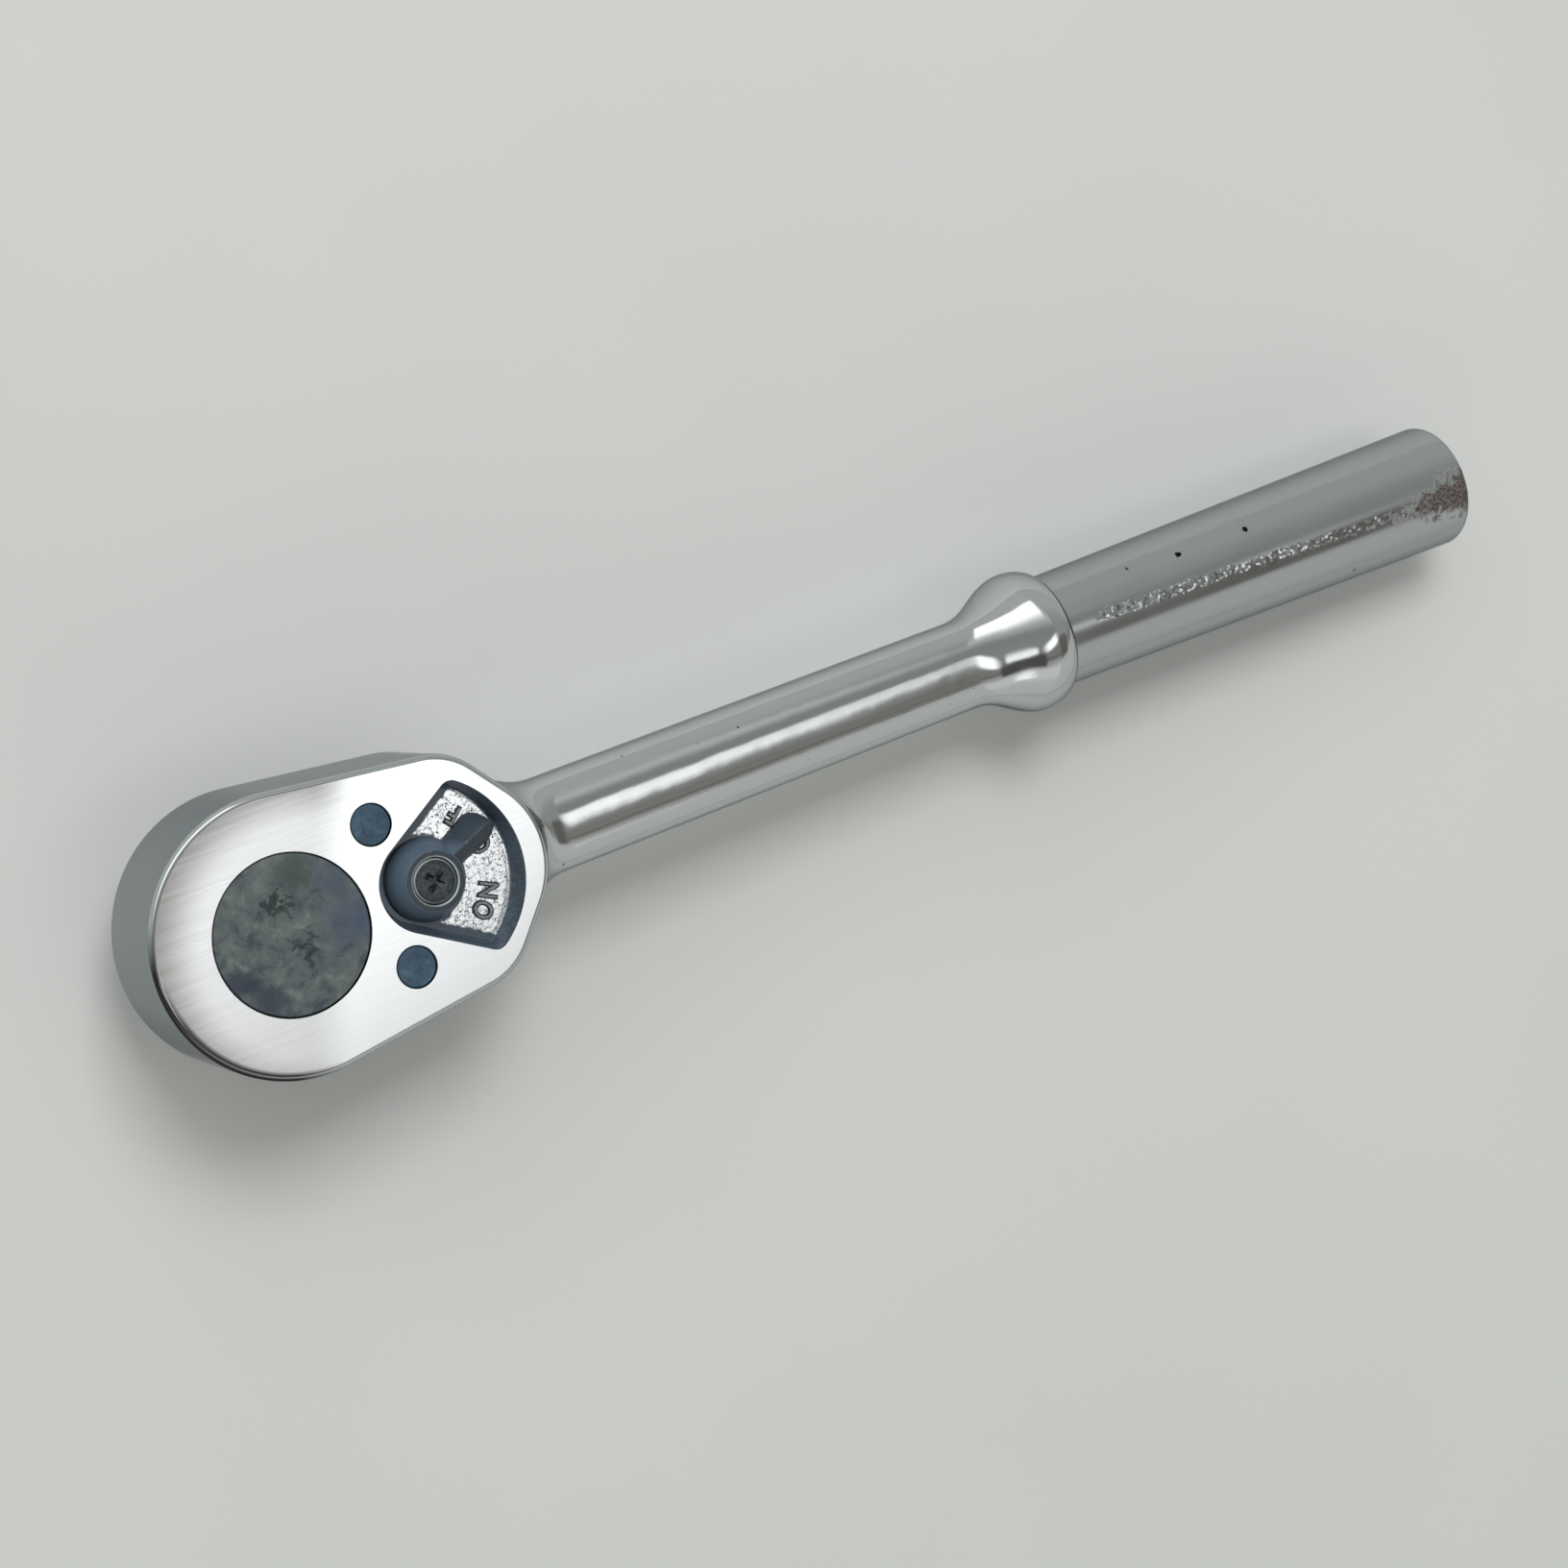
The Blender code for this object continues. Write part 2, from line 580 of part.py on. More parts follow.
def tooth_outline(grow):
    """Points round the gear's teeth, moved outward by grow."""
    tip_half = GEAR_PITCH * TOOTH_TIP_SHARE + grow / GEAR_TIP_RADIUS
    root_half = min(GEAR_PITCH * TOOTH_ROOT_SHARE + grow / GEAR_ROOT_RADIUS, GEAR_PITCH * TOOTH_ROOT_LIMIT)
    points = []
    for tooth in range(GEAR_TEETH):
        middle = tooth * GEAR_PITCH
        points.append(polar(GEAR_ROOT_RADIUS + grow, middle - root_half))
        points.append(polar(GEAR_TIP_RADIUS + grow, middle - tip_half))
        points.append(polar(GEAR_TIP_RADIUS + grow, middle + tip_half))
        points.append(polar(GEAR_ROOT_RADIUS + grow, middle + root_half))
    return points


def gear_mesh(bottom, top, grow=0.0):
    """Toothed ring of the gear as a prism."""
    points = tooth_outline(grow)
    return loft([[Vector((p.x, p.y, z)) for p in points] for z in (bottom, top)])


def make_drive():
    """Drive gear with its journals and square, and the ball and spring that hold a socket."""
    axis = anchor("drive_axis", (0, 0, 0))
    gear = piece("drive_gear", gear_mesh(GEAR_BOTTOM_Z, GEAR_TOP_Z), BLUED_STEEL, parent=axis)
    middle = (GEAR_BOTTOM_Z + GEAR_TOP_Z) / 2
    front_end = COVER_OUTER_Z - FRONT_JOURNAL_PROUD
    disc_top = FACE_Z - DISC_SUNK
    journals = turned([
        (FRONT_JOURNAL_RADIUS, front_end),
        (FRONT_JOURNAL_RADIUS, middle),
        (BACK_JOURNAL_RADIUS, middle),
        (BACK_JOURNAL_RADIUS, disc_top - DISC_CHAMFER),
        (BACK_JOURNAL_RADIUS - DISC_CHAMFER, disc_top),
    ])
    join(gear, "journals", journals, parent=axis)
    half = DRIVE_SQUARE / 2
    corner = half - DRIVE_EDGE_ROUND
    square = band([(x, y, DRIVE_EDGE_ROUND) for x in (-corner, corner) for y in (-corner, corner)])
    shank = loft([
        ring(square, -DRIVE_END_CHAMFER, 0.0),
        ring(square, 0.0, DRIVE_END_CHAMFER),
        ring(square, 0.0, front_end + CUT_MARGIN),
    ])
    join(gear, "square", shank, parent=axis)
    centre_x = half + SOCKET_BALL_PROUD - SOCKET_BALL_RADIUS
    depth_of_lip = half - SOCKET_LIP_DEPTH
    lip = math.sqrt(SOCKET_BALL_RADIUS ** 2 - (depth_of_lip - centre_x) ** 2) + RUNNING_GAP
    pocket = SOCKET_BALL_RADIUS + RUNNING_GAP
    pocket_end = SOCKET_POCKET_WALL - half
    mouth = half + CUT_MARGIN
    hole = turned([(pocket, pocket_end), (pocket, depth_of_lip), (lip, depth_of_lip), (lip, mouth)])
    cut(gear, "socket_pocket", hole, place=(0, 0, SOCKET_BALL_HEIGHT), rotation=ALONG_X, parent=axis)
    piece("socket_ball", turned(ball_profile(SOCKET_BALL_RADIUS)), BRIGHT_STEEL,
          place=(centre_x, 0, SOCKET_BALL_HEIGHT), rotation=ALONG_X, parent=axis)
    spring_start = pocket_end + SEAT_GAP
    spring_length = centre_x - SOCKET_BALL_RADIUS - SEAT_GAP - spring_start
    spring_radius = pocket - RUNNING_GAP - SOCKET_SPRING_WIRE
    coil("socket_spring", spring_radius, SOCKET_SPRING_WIRE, spring_length, SOCKET_SPRING_TURNS,
         (spring_start, 0, SOCKET_BALL_HEIGHT), ALONG_X, parent=axis)


def make_thrust_washer():
    """Flat washer that the gear runs on."""
    ring_mesh = washer(FRONT_JOURNAL_RADIUS + RUNNING_GAP, GEAR_ROOT_RADIUS - THRUST_WASHER_ROOM,
                       WASHER_Z, WASHER_Z + THRUST_WASHER_THICKNESS)
    piece("thrust_washer", ring_mesh, BRIGHT_STEEL)


def make_cover():
    """Cover plate that closes the cavity, with its two countersunk screws."""
    outline = band(COVER_CIRCLES)
    plate = loft([
        ring(outline, -SEAT_GAP - COVER_CHAMFER, COVER_OUTER_Z),
        ring(outline, -SEAT_GAP, COVER_OUTER_Z + COVER_CHAMFER),
        ring(outline, -SEAT_GAP, COVER_INNER_Z),
    ])
    cover = piece("cover_plate", plate, CHROME)
    below = COVER_OUTER_Z - CUT_MARGIN
    above = COVER_INNER_Z + CUT_MARGIN
    bore = FRONT_JOURNAL_RADIUS + RUNNING_GAP
    cut(cover, "cover_bore", rod(bore, below, above))
    pin_hole = PIN_SHAFT_RADIUS + SEAT_GAP
    hole = COVER_SCREW_RADIUS + SEAT_GAP
    wide = COVER_SCREW_HEAD_RADIUS + SEAT_GAP
    head_top = COVER_OUTER_Z + COVER_SCREW_HEAD_DEPTH
    for side, sign in (("on", -1), ("off", 1)):
        cut(cover, f"cover_pin_hole_{side}", rod(pin_hole, below, above),
            place=(PIN_PLACE.x, sign * PIN_PLACE.y, 0))
        screw_place = (*COVER_SCREW_PLACES[side], 0)
        sink = turned([(wide, below), (wide, COVER_OUTER_Z), (hole, head_top), (hole, above)])
        cut(cover, f"countersink_{side}", sink, place=screw_place)
        screw = turned([
            (COVER_SCREW_HEAD_RADIUS, COVER_OUTER_Z),
            (COVER_SCREW_RADIUS, head_top),
            (COVER_SCREW_RADIUS, COVER_OUTER_Z + COVER_SCREW_LENGTH),
        ])
        item = piece(f"cover_screw_{side}", screw, BLACK_OXIDE, place=screw_place)
        slot_length = 2 * COVER_SCREW_HEAD_RADIUS + CUT_MARGIN
        slot = slot_mesh(slot_length, COVER_SCREW_SLOT, below, COVER_OUTER_Z + COVER_SCREW_SLOT_DEPTH)
        cut(item, f"slot_{side}", slot, place=screw_place)


def slot_mesh(length, width, bottom, top):
    """Straight sided slot along X."""
    end = length / 2
    side = width / 2
    corners = [(-end, -side), (end, -side), (end, side), (-end, side)]
    return loft([[Vector((x, y, z)) for x, y in corners] for z in (bottom, top)])


def make_pins():
    """Pawl pins: a head flush with the back face and a shaft down through the cover."""
    head_bottom = CEILING_Z + SEAT_GAP
    head_top = FACE_Z - PIN_SUNK
    for side, sign in (("on", -1), ("off", 1)):
        pin = turned([
            (PIN_SHAFT_RADIUS - PIN_CHAMFER, COVER_OUTER_Z),
            (PIN_SHAFT_RADIUS, COVER_OUTER_Z + PIN_CHAMFER),
            (PIN_SHAFT_RADIUS, head_bottom),
            (PIN_HEAD_RADIUS, head_bottom),
            (PIN_HEAD_RADIUS, head_top - PIN_CHAMFER),
            (PIN_HEAD_RADIUS - PIN_CHAMFER, head_top),
        ])
        piece(f"pawl_pin_{side}", pin, BLUED_STEEL, place=(PIN_PLACE.x, sign * PIN_PLACE.y, 0))


def make_pawls():
    """Two rocking pawls; the ON side one is in mesh, the OFF side one is lifted by the cam."""
    for side, sign, rest in (("on", -1, 0.0), ("off", 1, PAWL_LIFT)):
        pin = Vector((PIN_PLACE.x, sign * PIN_PLACE.y))
        nose_angle = sign * PAWL_NOSE_ANGLE
        nose_back = polar(GEAR_TIP_RADIUS + PAWL_ARM_ROOM + PAWL_NOSE_BACK_RADIUS, nose_angle) - pin
        nose = polar(GEAR_ROOT_RADIUS + RUNNING_GAP + PAWL_NOSE_RADIUS, nose_angle) - pin
        arm = (0.0, 0.0, PAWL_ARM_RADIUS)
        nose_back_circle = (*nose_back, PAWL_NOSE_BACK_RADIUS)
        tail_circle = (PAWL_TAIL.x, sign * PAWL_TAIL.y, PAWL_TAIL_RADIUS)
        placing = {"place": (*pin, 0), "rotation": (0, 0, sign * rest)}

        def slab(circles):
            return prism(band(circles), PAWL_BOTTOM_Z, PAWL_TOP_Z)

        pawl = piece(f"pawl_{side}", slab([(0.0, 0.0, PAWL_EYE_RADIUS)]), BLUED_STEEL, **placing)
        join(pawl, f"pawl_tail_{side}", slab([arm, tail_circle]), **placing)
        join(pawl, f"pawl_arm_{side}", slab([arm, nose_back_circle]), **placing)
        join(pawl, f"pawl_nose_{side}", slab([nose_back_circle, (*nose, PAWL_NOSE_RADIUS)]), **placing)
        teeth = gear_mesh(PAWL_BOTTOM_Z - CUT_MARGIN, PAWL_TOP_Z + CUT_MARGIN, RUNNING_GAP)
        bmesh.ops.translate(teeth, verts=teeth.verts, vec=(-pin.x, -pin.y, 0))
        cut(pawl, f"teeth_{side}", teeth, **placing)
        eye = PIN_SHAFT_RADIUS + RUNNING_GAP
        cut(pawl, f"eye_{side}", rod(eye, PAWL_BOTTOM_Z - CUT_MARGIN, PAWL_TOP_Z + CUT_MARGIN), **placing)
        tail = pin + turn(Vector((PAWL_TAIL.x, sign * PAWL_TAIL.y)), sign * rest)
        bottom = sign * (SPRING_POCKET_Y - SEAT_GAP)
        length = abs(bottom - tail.y) - PAWL_TAIL_RADIUS - PAWL_SPRING_ROOM
        coil(f"pawl_spring_{side}", PAWL_SPRING_RADIUS, PAWL_SPRING_WIRE, length, PAWL_SPRING_TURNS,
             (TAIL_LIFTED.x, bottom, PAWL_MID_Z), ALONG_MINUS_Y if sign > 0 else ALONG_Y)


def finger_mesh():
    """Thumb finger of the lever: a ridge that runs out from the hub to a rounded tip."""
    straight = LEVER_FINGER_REACH - LEVER_FINGER_TIP_ROUND
    stations = [(LEVER_FINGER_TOP, 0.0)]
    stations += [
        (straight + LEVER_FINGER_TIP_ROUND * math.sin(angle), 1 - math.cos(angle))
        for angle in quarter(ROUND_STEPS - 1)
    ]
    rings = []
    for x, fall in stations:
        base = LEVER_FINGER_BASE + (LEVER_FINGER_TIP_BASE - LEVER_FINGER_BASE) * fall
        ridge = LEVER_FINGER_TOP + (LEVER_FINGER_TIP_TOP - LEVER_FINGER_TOP) * fall
        height = FACE_Z - LEVER_FINGER_TIP_DROP * fall
        corners = [(-base, LEVER_BASE_Z), (base, LEVER_BASE_Z), (ridge, height), (-ridge, height)]
        rings.append([Vector((x, y, z)) for y, z in corners])
    return loft(rings)


def make_lever():
    """Reversing lever with its cam, screw and washer, which all turn together."""
    axis = anchor("lever_axis", (LEVER_X, 0, 0), LEVER_REST_ANGLE)
    hub = turned([
        (LEVER_HUB_BASE_RADIUS, LEVER_BASE_Z),
        (LEVER_HUB_TOP_RADIUS, LEVER_TOP_Z - LEVER_HUB_ROUND),
        (LEVER_HUB_TOP_RADIUS - LEVER_HUB_ROUND, LEVER_TOP_Z),
    ])
    lever = piece("reversing_lever", hub, BLACK_OXIDE, parent=axis)
    join(lever, "finger", finger_mesh(), parent=axis)
    seat = SCREW_HEAD_RADIUS + RUNNING_GAP
    cut(lever, "screw_seat", rod(seat, LEVER_SEAT_Z, LEVER_TOP_Z + CUT_MARGIN), parent=axis)
    hole = SCREW_RADIUS + SEAT_GAP
    cut(lever, "screw_way", rod(hole, LEVER_BASE_Z - CUT_MARGIN, LEVER_TOP_Z), parent=axis)
    corner = CAM_SPIGOT_SQUARE / 2 - CAM_SPIGOT_ROUND
    spigot = band([(x, y, CAM_SPIGOT_ROUND) for x in (-corner, corner) for y in (-corner, corner)])
    socket = prism(spigot, LEVER_BASE_Z - CUT_MARGIN, SPIGOT_TOP_Z + SEAT_GAP, SEAT_GAP)
    cut(lever, "spigot_socket", socket, parent=axis)

    groove_low = PAWL_MID_Z - PLUNGER_RADIUS - RUNNING_GAP
    groove_high = PAWL_MID_Z + PLUNGER_RADIUS + RUNNING_GAP
    groove = CAM_HUB_RADIUS - PLUNGER_GROOVE_DEPTH
    cam_body = turned([
        (CAM_HUB_RADIUS, PAWL_BOTTOM_Z),
        (CAM_HUB_RADIUS, groove_low),
        (groove, groove_low + PLUNGER_GROOVE_DEPTH),
        (groove, groove_high - PLUNGER_GROOVE_DEPTH),
        (CAM_HUB_RADIUS, groove_high),
        (CAM_HUB_RADIUS, PAWL_TOP_Z),
        (CAM_SHAFT_RADIUS, PAWL_TOP_Z),
        (CAM_SHAFT_RADIUS, RECESS_FLOOR_Z),
    ])
    cam = piece("reversing_cam", cam_body, BLUED_STEEL, parent=axis)
    lobe_low = groove_high + CAM_LOBE_INSET
    for side, sign in (("on", -1), ("off", 1)):
        tip = polar(LOBE_REACH - CAM_LOBE_RADIUS, sign * LOBE_ANGLE)
        outline = band([(0.0, 0.0, groove), (*tip, CAM_LOBE_RADIUS)])
        lobe = prism(outline, lobe_low, PAWL_TOP_Z - CAM_LOBE_INSET)
        join(cam, f"cam_lobe_{side}", lobe, parent=axis)
    join(cam, "spigot", prism(spigot, RECESS_FLOOR_Z - CUT_MARGIN, SPIGOT_TOP_Z), parent=axis)
    screw_end = SPIGOT_TOP_Z - CAM_SCREW_DEPTH
    cut(cam, "cam_thread", rod(hole, screw_end - SEAT_GAP, SPIGOT_TOP_Z + CUT_MARGIN), parent=axis)

    washer_z = LEVER_SEAT_Z + SEAT_GAP
    washer_top = washer_z + LEVER_WASHER_THICKNESS
    washer_mesh = washer(SCREW_RADIUS + SEAT_GAP, SCREW_HEAD_RADIUS, washer_z, washer_top)
    piece("lever_washer", washer_mesh, BRIGHT_STEEL, parent=axis)
    head_z = washer_top + SEAT_GAP
    head_top = head_z + SCREW_HEAD_HEIGHT
    screw = piece("lever_screw", turned([
        (SCREW_RADIUS, screw_end),
        (SCREW_RADIUS, head_z),
        (SCREW_HEAD_RADIUS, head_z),
        (SCREW_HEAD_RADIUS, head_top - SCREW_HEAD_ROUND),
        (SCREW_HEAD_RADIUS - SCREW_HEAD_ROUND, head_top),
    ]), BLACK_OXIDE, parent=axis)
    for name, angle in (("cross_a", 0.0), ("cross_b", math.pi / 2)):
        cross_floor = head_top - SCREW_CROSS_DEPTH
        slot = slot_mesh(SCREW_CROSS_SPAN, SCREW_CROSS_WIDTH, cross_floor, head_top + CUT_MARGIN)
        cut(screw, name, slot, rotation=(0, 0, angle), parent=axis)


def make_detent():
    """Plunger that bears on the cam's groove, and its spring in the neck."""
    nose = PLUNGER_GROOVE_DEPTH
    profile = [
        (PLUNGER_RADIUS - nose * (1 - math.sin(angle)), nose * (1 - math.cos(angle)))
        for angle in quarter(ROUND_STEPS)
    ]
    profile.append((PLUNGER_RADIUS, PLUNGER_BODY))
    piece("detent_plunger", turned(profile), BRIGHT_STEEL,
          place=(PLUNGER_TIP_X, 0, PAWL_MID_Z), rotation=ALONG_X)
    coil("detent_spring", PLUNGER_RADIUS - DETENT_SPRING_WIRE / 2, DETENT_SPRING_WIRE, DETENT_SPRING_LENGTH,
         DETENT_SPRING_TURNS, (PLUNGER_BACK_X + SEAT_GAP, 0, PAWL_MID_Z), ALONG_X)


def main():
    """Builds every piece in an empty scene."""
    for old in list(bpy.data.objects):
        bpy.data.objects.remove(old, do_unlink=True)
    make_body()
    make_drive()
    make_thrust_washer()
    make_cover()
    make_pins()
    make_pawls()
    make_lever()
    make_detent()


main()
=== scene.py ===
"""Looks of a reversible ratchet wrench: a plated forging with a blued drive and a black lever.

Sizes are in millimetres, and MM turns them into metres. The drive axis is Z, the plain face of the
head looks up, the handle runs along +X, and the OFF side of the head is +Y.
"""

import json
import logging
import math
from contextlib import contextmanager
from dataclasses import dataclass
from enum import Enum
from typing import Callable, Iterator, Sequence

import bmesh
import bpy
from mathutils import Matrix, Vector
from mathutils.kdtree import KDTree

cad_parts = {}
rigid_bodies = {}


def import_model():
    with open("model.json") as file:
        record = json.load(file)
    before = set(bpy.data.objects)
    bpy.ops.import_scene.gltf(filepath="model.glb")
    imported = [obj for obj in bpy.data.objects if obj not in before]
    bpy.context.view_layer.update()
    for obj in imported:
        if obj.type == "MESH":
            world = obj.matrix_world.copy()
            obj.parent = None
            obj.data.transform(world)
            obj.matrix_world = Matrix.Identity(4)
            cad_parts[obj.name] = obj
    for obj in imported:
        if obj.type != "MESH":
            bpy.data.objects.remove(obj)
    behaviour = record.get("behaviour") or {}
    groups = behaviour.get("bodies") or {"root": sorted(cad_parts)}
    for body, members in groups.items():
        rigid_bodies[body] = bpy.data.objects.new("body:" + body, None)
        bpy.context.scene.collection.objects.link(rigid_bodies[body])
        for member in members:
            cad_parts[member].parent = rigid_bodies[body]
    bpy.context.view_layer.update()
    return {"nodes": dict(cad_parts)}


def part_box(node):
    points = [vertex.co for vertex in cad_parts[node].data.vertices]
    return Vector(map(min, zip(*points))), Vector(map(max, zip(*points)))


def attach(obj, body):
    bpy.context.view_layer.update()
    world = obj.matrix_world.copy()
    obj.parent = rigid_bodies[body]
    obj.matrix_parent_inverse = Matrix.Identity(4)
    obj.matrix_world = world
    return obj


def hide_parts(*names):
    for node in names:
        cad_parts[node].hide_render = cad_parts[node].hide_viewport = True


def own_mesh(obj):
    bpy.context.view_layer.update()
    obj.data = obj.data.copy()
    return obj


for stray in list(bpy.data.objects):
    bpy.data.objects.remove(stray, do_unlink=True)
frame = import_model()

MM = 0.001
LOG = logging.getLogger("ratchet")
Circle = tuple[float, float, float]
Profile = list[tuple[float, float]]

# Sockets of the Mix node when it mixes colours
MIX_SHARE, MIX_FIRST, MIX_SECOND, MIX_COLOUR = 0, 6, 7, 2

# Heights along the drive axis and places on the head, shared by the pieces
FACE_Z = 37.3
BACK_Z = 16.0
COVER_TOP_Z = 19.0
CEILING_Z = 30.7
PAWL_MID_Z = 24.85
HANDLE_Z = (FACE_Z + BACK_Z) / 2
RECESS_X = 22.7
RECESS_FLOOR_Z = 33.1
LEVER_X = 23.9
LEVER_BASE_Z = 33.4
LEVER_TOP_Z = 38.2
LEVER_REST = math.radians(24.0)
PIN_X, PIN_Y = 17.097, 11.598
TAIL_X, TAIL_Y = 23.956, 12.034
COVER_SCREW_X, COVER_SCREW_Y = 35.9, 6.4
SEAT_GAP = 0.3
FINE_TURN = 192


class Side(Enum):
    """The two sides of the head, named for the lettering in the recess."""

    ON = -1
    OFF = 1


class Joining(Enum):
    """What a Boolean does with its second shape."""

    ADD = "UNION"
    CUT = "DIFFERENCE"


def linear(colour: str) -> tuple[float, float, float, float]:
    """Turns an sRGB hex colour into linear red, green, blue and alpha.

    Args:
        colour: Six hex digits after a hash.

    Returns:
        The linear colour, fully opaque.
    """
    parts = [int(colour[k:k + 2], 16) / 255 for k in (1, 3, 5)]
    red, green, blue = (p / 12.92 if p <= 0.04045 else ((p + 0.055) / 1.055) ** 2.4 for p in parts)
    return red, green, blue, 1.0


def add_node(tree: bpy.types.NodeTree, kind: str, inputs: dict | None = None,
             stops: Sequence[tuple[float, str]] = (), **settings: object) -> bpy.types.Node:
    """Adds a node with its settings, input values and links.

    Args:
        tree: The node tree that takes the node.
        kind: The node's type.
        inputs: For each input, a value or the socket that is linked to it.
        stops: Places and hex colours of a colour ramp.
        settings: The node's own properties.

    Returns:
        The new node.
    """
    node = tree.nodes.new(kind)
    for name, value in settings.items():
        setattr(node, name, value)
    for key, value in (inputs or {}).items():
        if isinstance(value, bpy.types.NodeSocket):
            tree.links.new(value, node.inputs[key])
        else:
            node.inputs[key].default_value = value
    for index, (place, colour) in enumerate(stops):
        elements = node.color_ramp.elements
        element = elements[index] if index < len(elements) else elements.new(place)
        element.position = place
        element.color = linear(colour)
    return node


@dataclass(frozen=True)
class Finish:
    """A surface finish: a base colour on a Principled shader, under a pattern of its own."""

    name: str
    colour: str
    metallic: float
    roughness: float
    edge_tint: str = "#FFFFFF"

    def material(self) -> bpy.types.Material:
        """Makes the finish's material once, and returns it."""
        known = bpy.data.materials.get(self.name)
        if known:
            return known
        material = bpy.data.materials.new(self.name)
        material.use_nodes = True
        tree = material.node_tree
        shader = tree.nodes["Principled BSDF"]
        shader.inputs["Base Color"].default_value = linear(self.colour)
        shader.inputs["Metallic"].default_value = self.metallic
        shader.inputs["Roughness"].default_value = self.roughness
        shader.inputs["Specular Tint"].default_value = linear(self.edge_tint)
        coords = add_node(tree, "ShaderNodeTexCoord")
        grain = add_node(tree, "ShaderNodeVectorMath", {0: coords.outputs["Object"], "Scale": 1 / MM},
                         operation="SCALE")
        self.lay(tree, shader, grain.outputs["Vector"])
        return material

    def lay(self, tree: bpy.types.NodeTree, shader: bpy.types.Node, grain: bpy.types.NodeSocket) -> None:
        """Lays the pattern on the shader; grain is the place on the piece in millimetres."""
        raise NotImplementedError


@dataclass(frozen=True)
class PolishedPlate(Finish):
    """Nickel and chrome plate over a polished forging: a clear mirror with slow ripples and pin holes, a painted dark
    reflection on the lower rim and painted shade on the head's wall.
    """

    ripple: float = 9.0
    ripple_depth: float = 0.010
    haze: float = 14.0
    haze_roughness: float = 0.05
    pin_hole: float = 1.3
    pin_hole_colour: str = "#4C5050"
    # Painted dark reflection on the lower rim of the head: its colour and the way towards its middle
    rim_dark_reflection_colour: str = "#3E3C3B"
    rim_way: tuple[float, float, float] = (-0.82, -0.57, 0.0)
    # Painted shade on the head's side wall, standing for the board's shade that it mirrors: its colour and the
    # heights where it starts and is full
    wall_shade_colour: str = "#C0C4C6"
    wall_shade_low: float = 14.0
    wall_shade_high: float = 40.0

    def lay(self, tree: bpy.types.NodeTree, shader: bpy.types.Node, grain: bpy.types.NodeSocket) -> None:
        """Ripples bend the reflections, haze dulls them, pin holes dot them, a painted dark reflection lines the
        lower rim, and painted shade darkens the head's wall towards the face.
        """
        haze = add_node(tree, "ShaderNodeTexNoise", {"Vector": grain, "Scale": 1 / self.haze, "Detail": 5.0})
        rough = add_node(tree, "ShaderNodeMapRange", {
            "Value": haze.outputs["Fac"], "From Min": 0.35, "From Max": 0.7,
            "To Min": self.roughness, "To Max": self.roughness + self.haze_roughness})
        tree.links.new(rough.outputs["Result"], shader.inputs["Roughness"])
        holes = add_node(tree, "ShaderNodeTexNoise", {"Vector": grain, "Scale": 1 / self.pin_hole, "Detail": 1.0})
        spots = add_node(tree, "ShaderNodeMapRange", {
            "Value": holes.outputs["Fac"], "From Min": 0.78, "From Max": 0.82})
        paint = add_node(tree, "ShaderNodeMix", {
            MIX_SHARE: spots.outputs["Result"], MIX_FIRST: linear(self.colour),
            MIX_SECOND: linear(self.pin_hole_colour)}, data_type="RGBA")
        parts = add_node(tree, "ShaderNodeSeparateXYZ", {0: grain})
        # Painted dark reflection: a thin band just under the face's edge, on the head's lower side
        drop = add_node(tree, "ShaderNodeMath", {0: parts.outputs["Z"], 1: FACE_Z - 0.5}, operation="SUBTRACT")
        off_rim = add_node(tree, "ShaderNodeMath", {0: drop.outputs[0]}, operation="ABSOLUTE")
        on_rim = add_node(tree, "ShaderNodeMapRange", {
            "Value": off_rim.outputs[0], "From Min": 0.6, "From Max": 0.3})
        side = add_node(tree, "ShaderNodeVectorMath", {0: grain, 1: self.rim_way}, operation="DOT_PRODUCT")
        lower = add_node(tree, "ShaderNodeMapRange", {
            "Value": side.outputs["Value"], "From Min": 11.0, "From Max": 17.0})
        painted_rim_reflection = add_node(tree, "ShaderNodeMath", {0: on_rim.outputs["Result"], 1: lower.outputs["Result"]},
                         operation="MULTIPLY")
        # Painted shade: the head's side wall darkens towards the face
        climb = add_node(tree, "ShaderNodeMapRange", {
            "Value": parts.outputs["Z"], "From Min": self.wall_shade_low, "From Max": self.wall_shade_high})
        head = add_node(tree, "ShaderNodeMapRange", {
            "Value": parts.outputs["X"], "From Min": 46.0, "From Max": 30.0}, interpolation_type="SMOOTHSTEP")
        painted_wall_shade = add_node(tree, "ShaderNodeMath", {0: climb.outputs["Result"], 1: head.outputs["Result"]},
                        operation="MULTIPLY")
        wall_shaded = add_node(tree, "ShaderNodeMix", {
            MIX_SHARE: painted_wall_shade.outputs[0], MIX_FIRST: paint.outputs[MIX_COLOUR],
            MIX_SECOND: linear(self.wall_shade_colour)}, data_type="RGBA")
        rim_reflected = add_node(tree, "ShaderNodeMix", {
            MIX_SHARE: painted_rim_reflection.outputs[0], MIX_FIRST: wall_shaded.outputs[MIX_COLOUR],
            MIX_SECOND: linear(self.rim_dark_reflection_colour)}, data_type="RGBA")
        tree.links.new(rim_reflected.outputs[MIX_COLOUR], shader.inputs["Base Color"])
        waves = add_node(tree, "ShaderNodeTexNoise", {"Vector": grain, "Scale": 1 / self.ripple, "Detail": 2.0})
        bump = add_node(tree, "ShaderNodeBump", {
            "Height": waves.outputs["Fac"], "Distance": self.ripple_depth * MM * 10})
        tree.links.new(bump.outputs["Normal"], shader.inputs["Normal"])


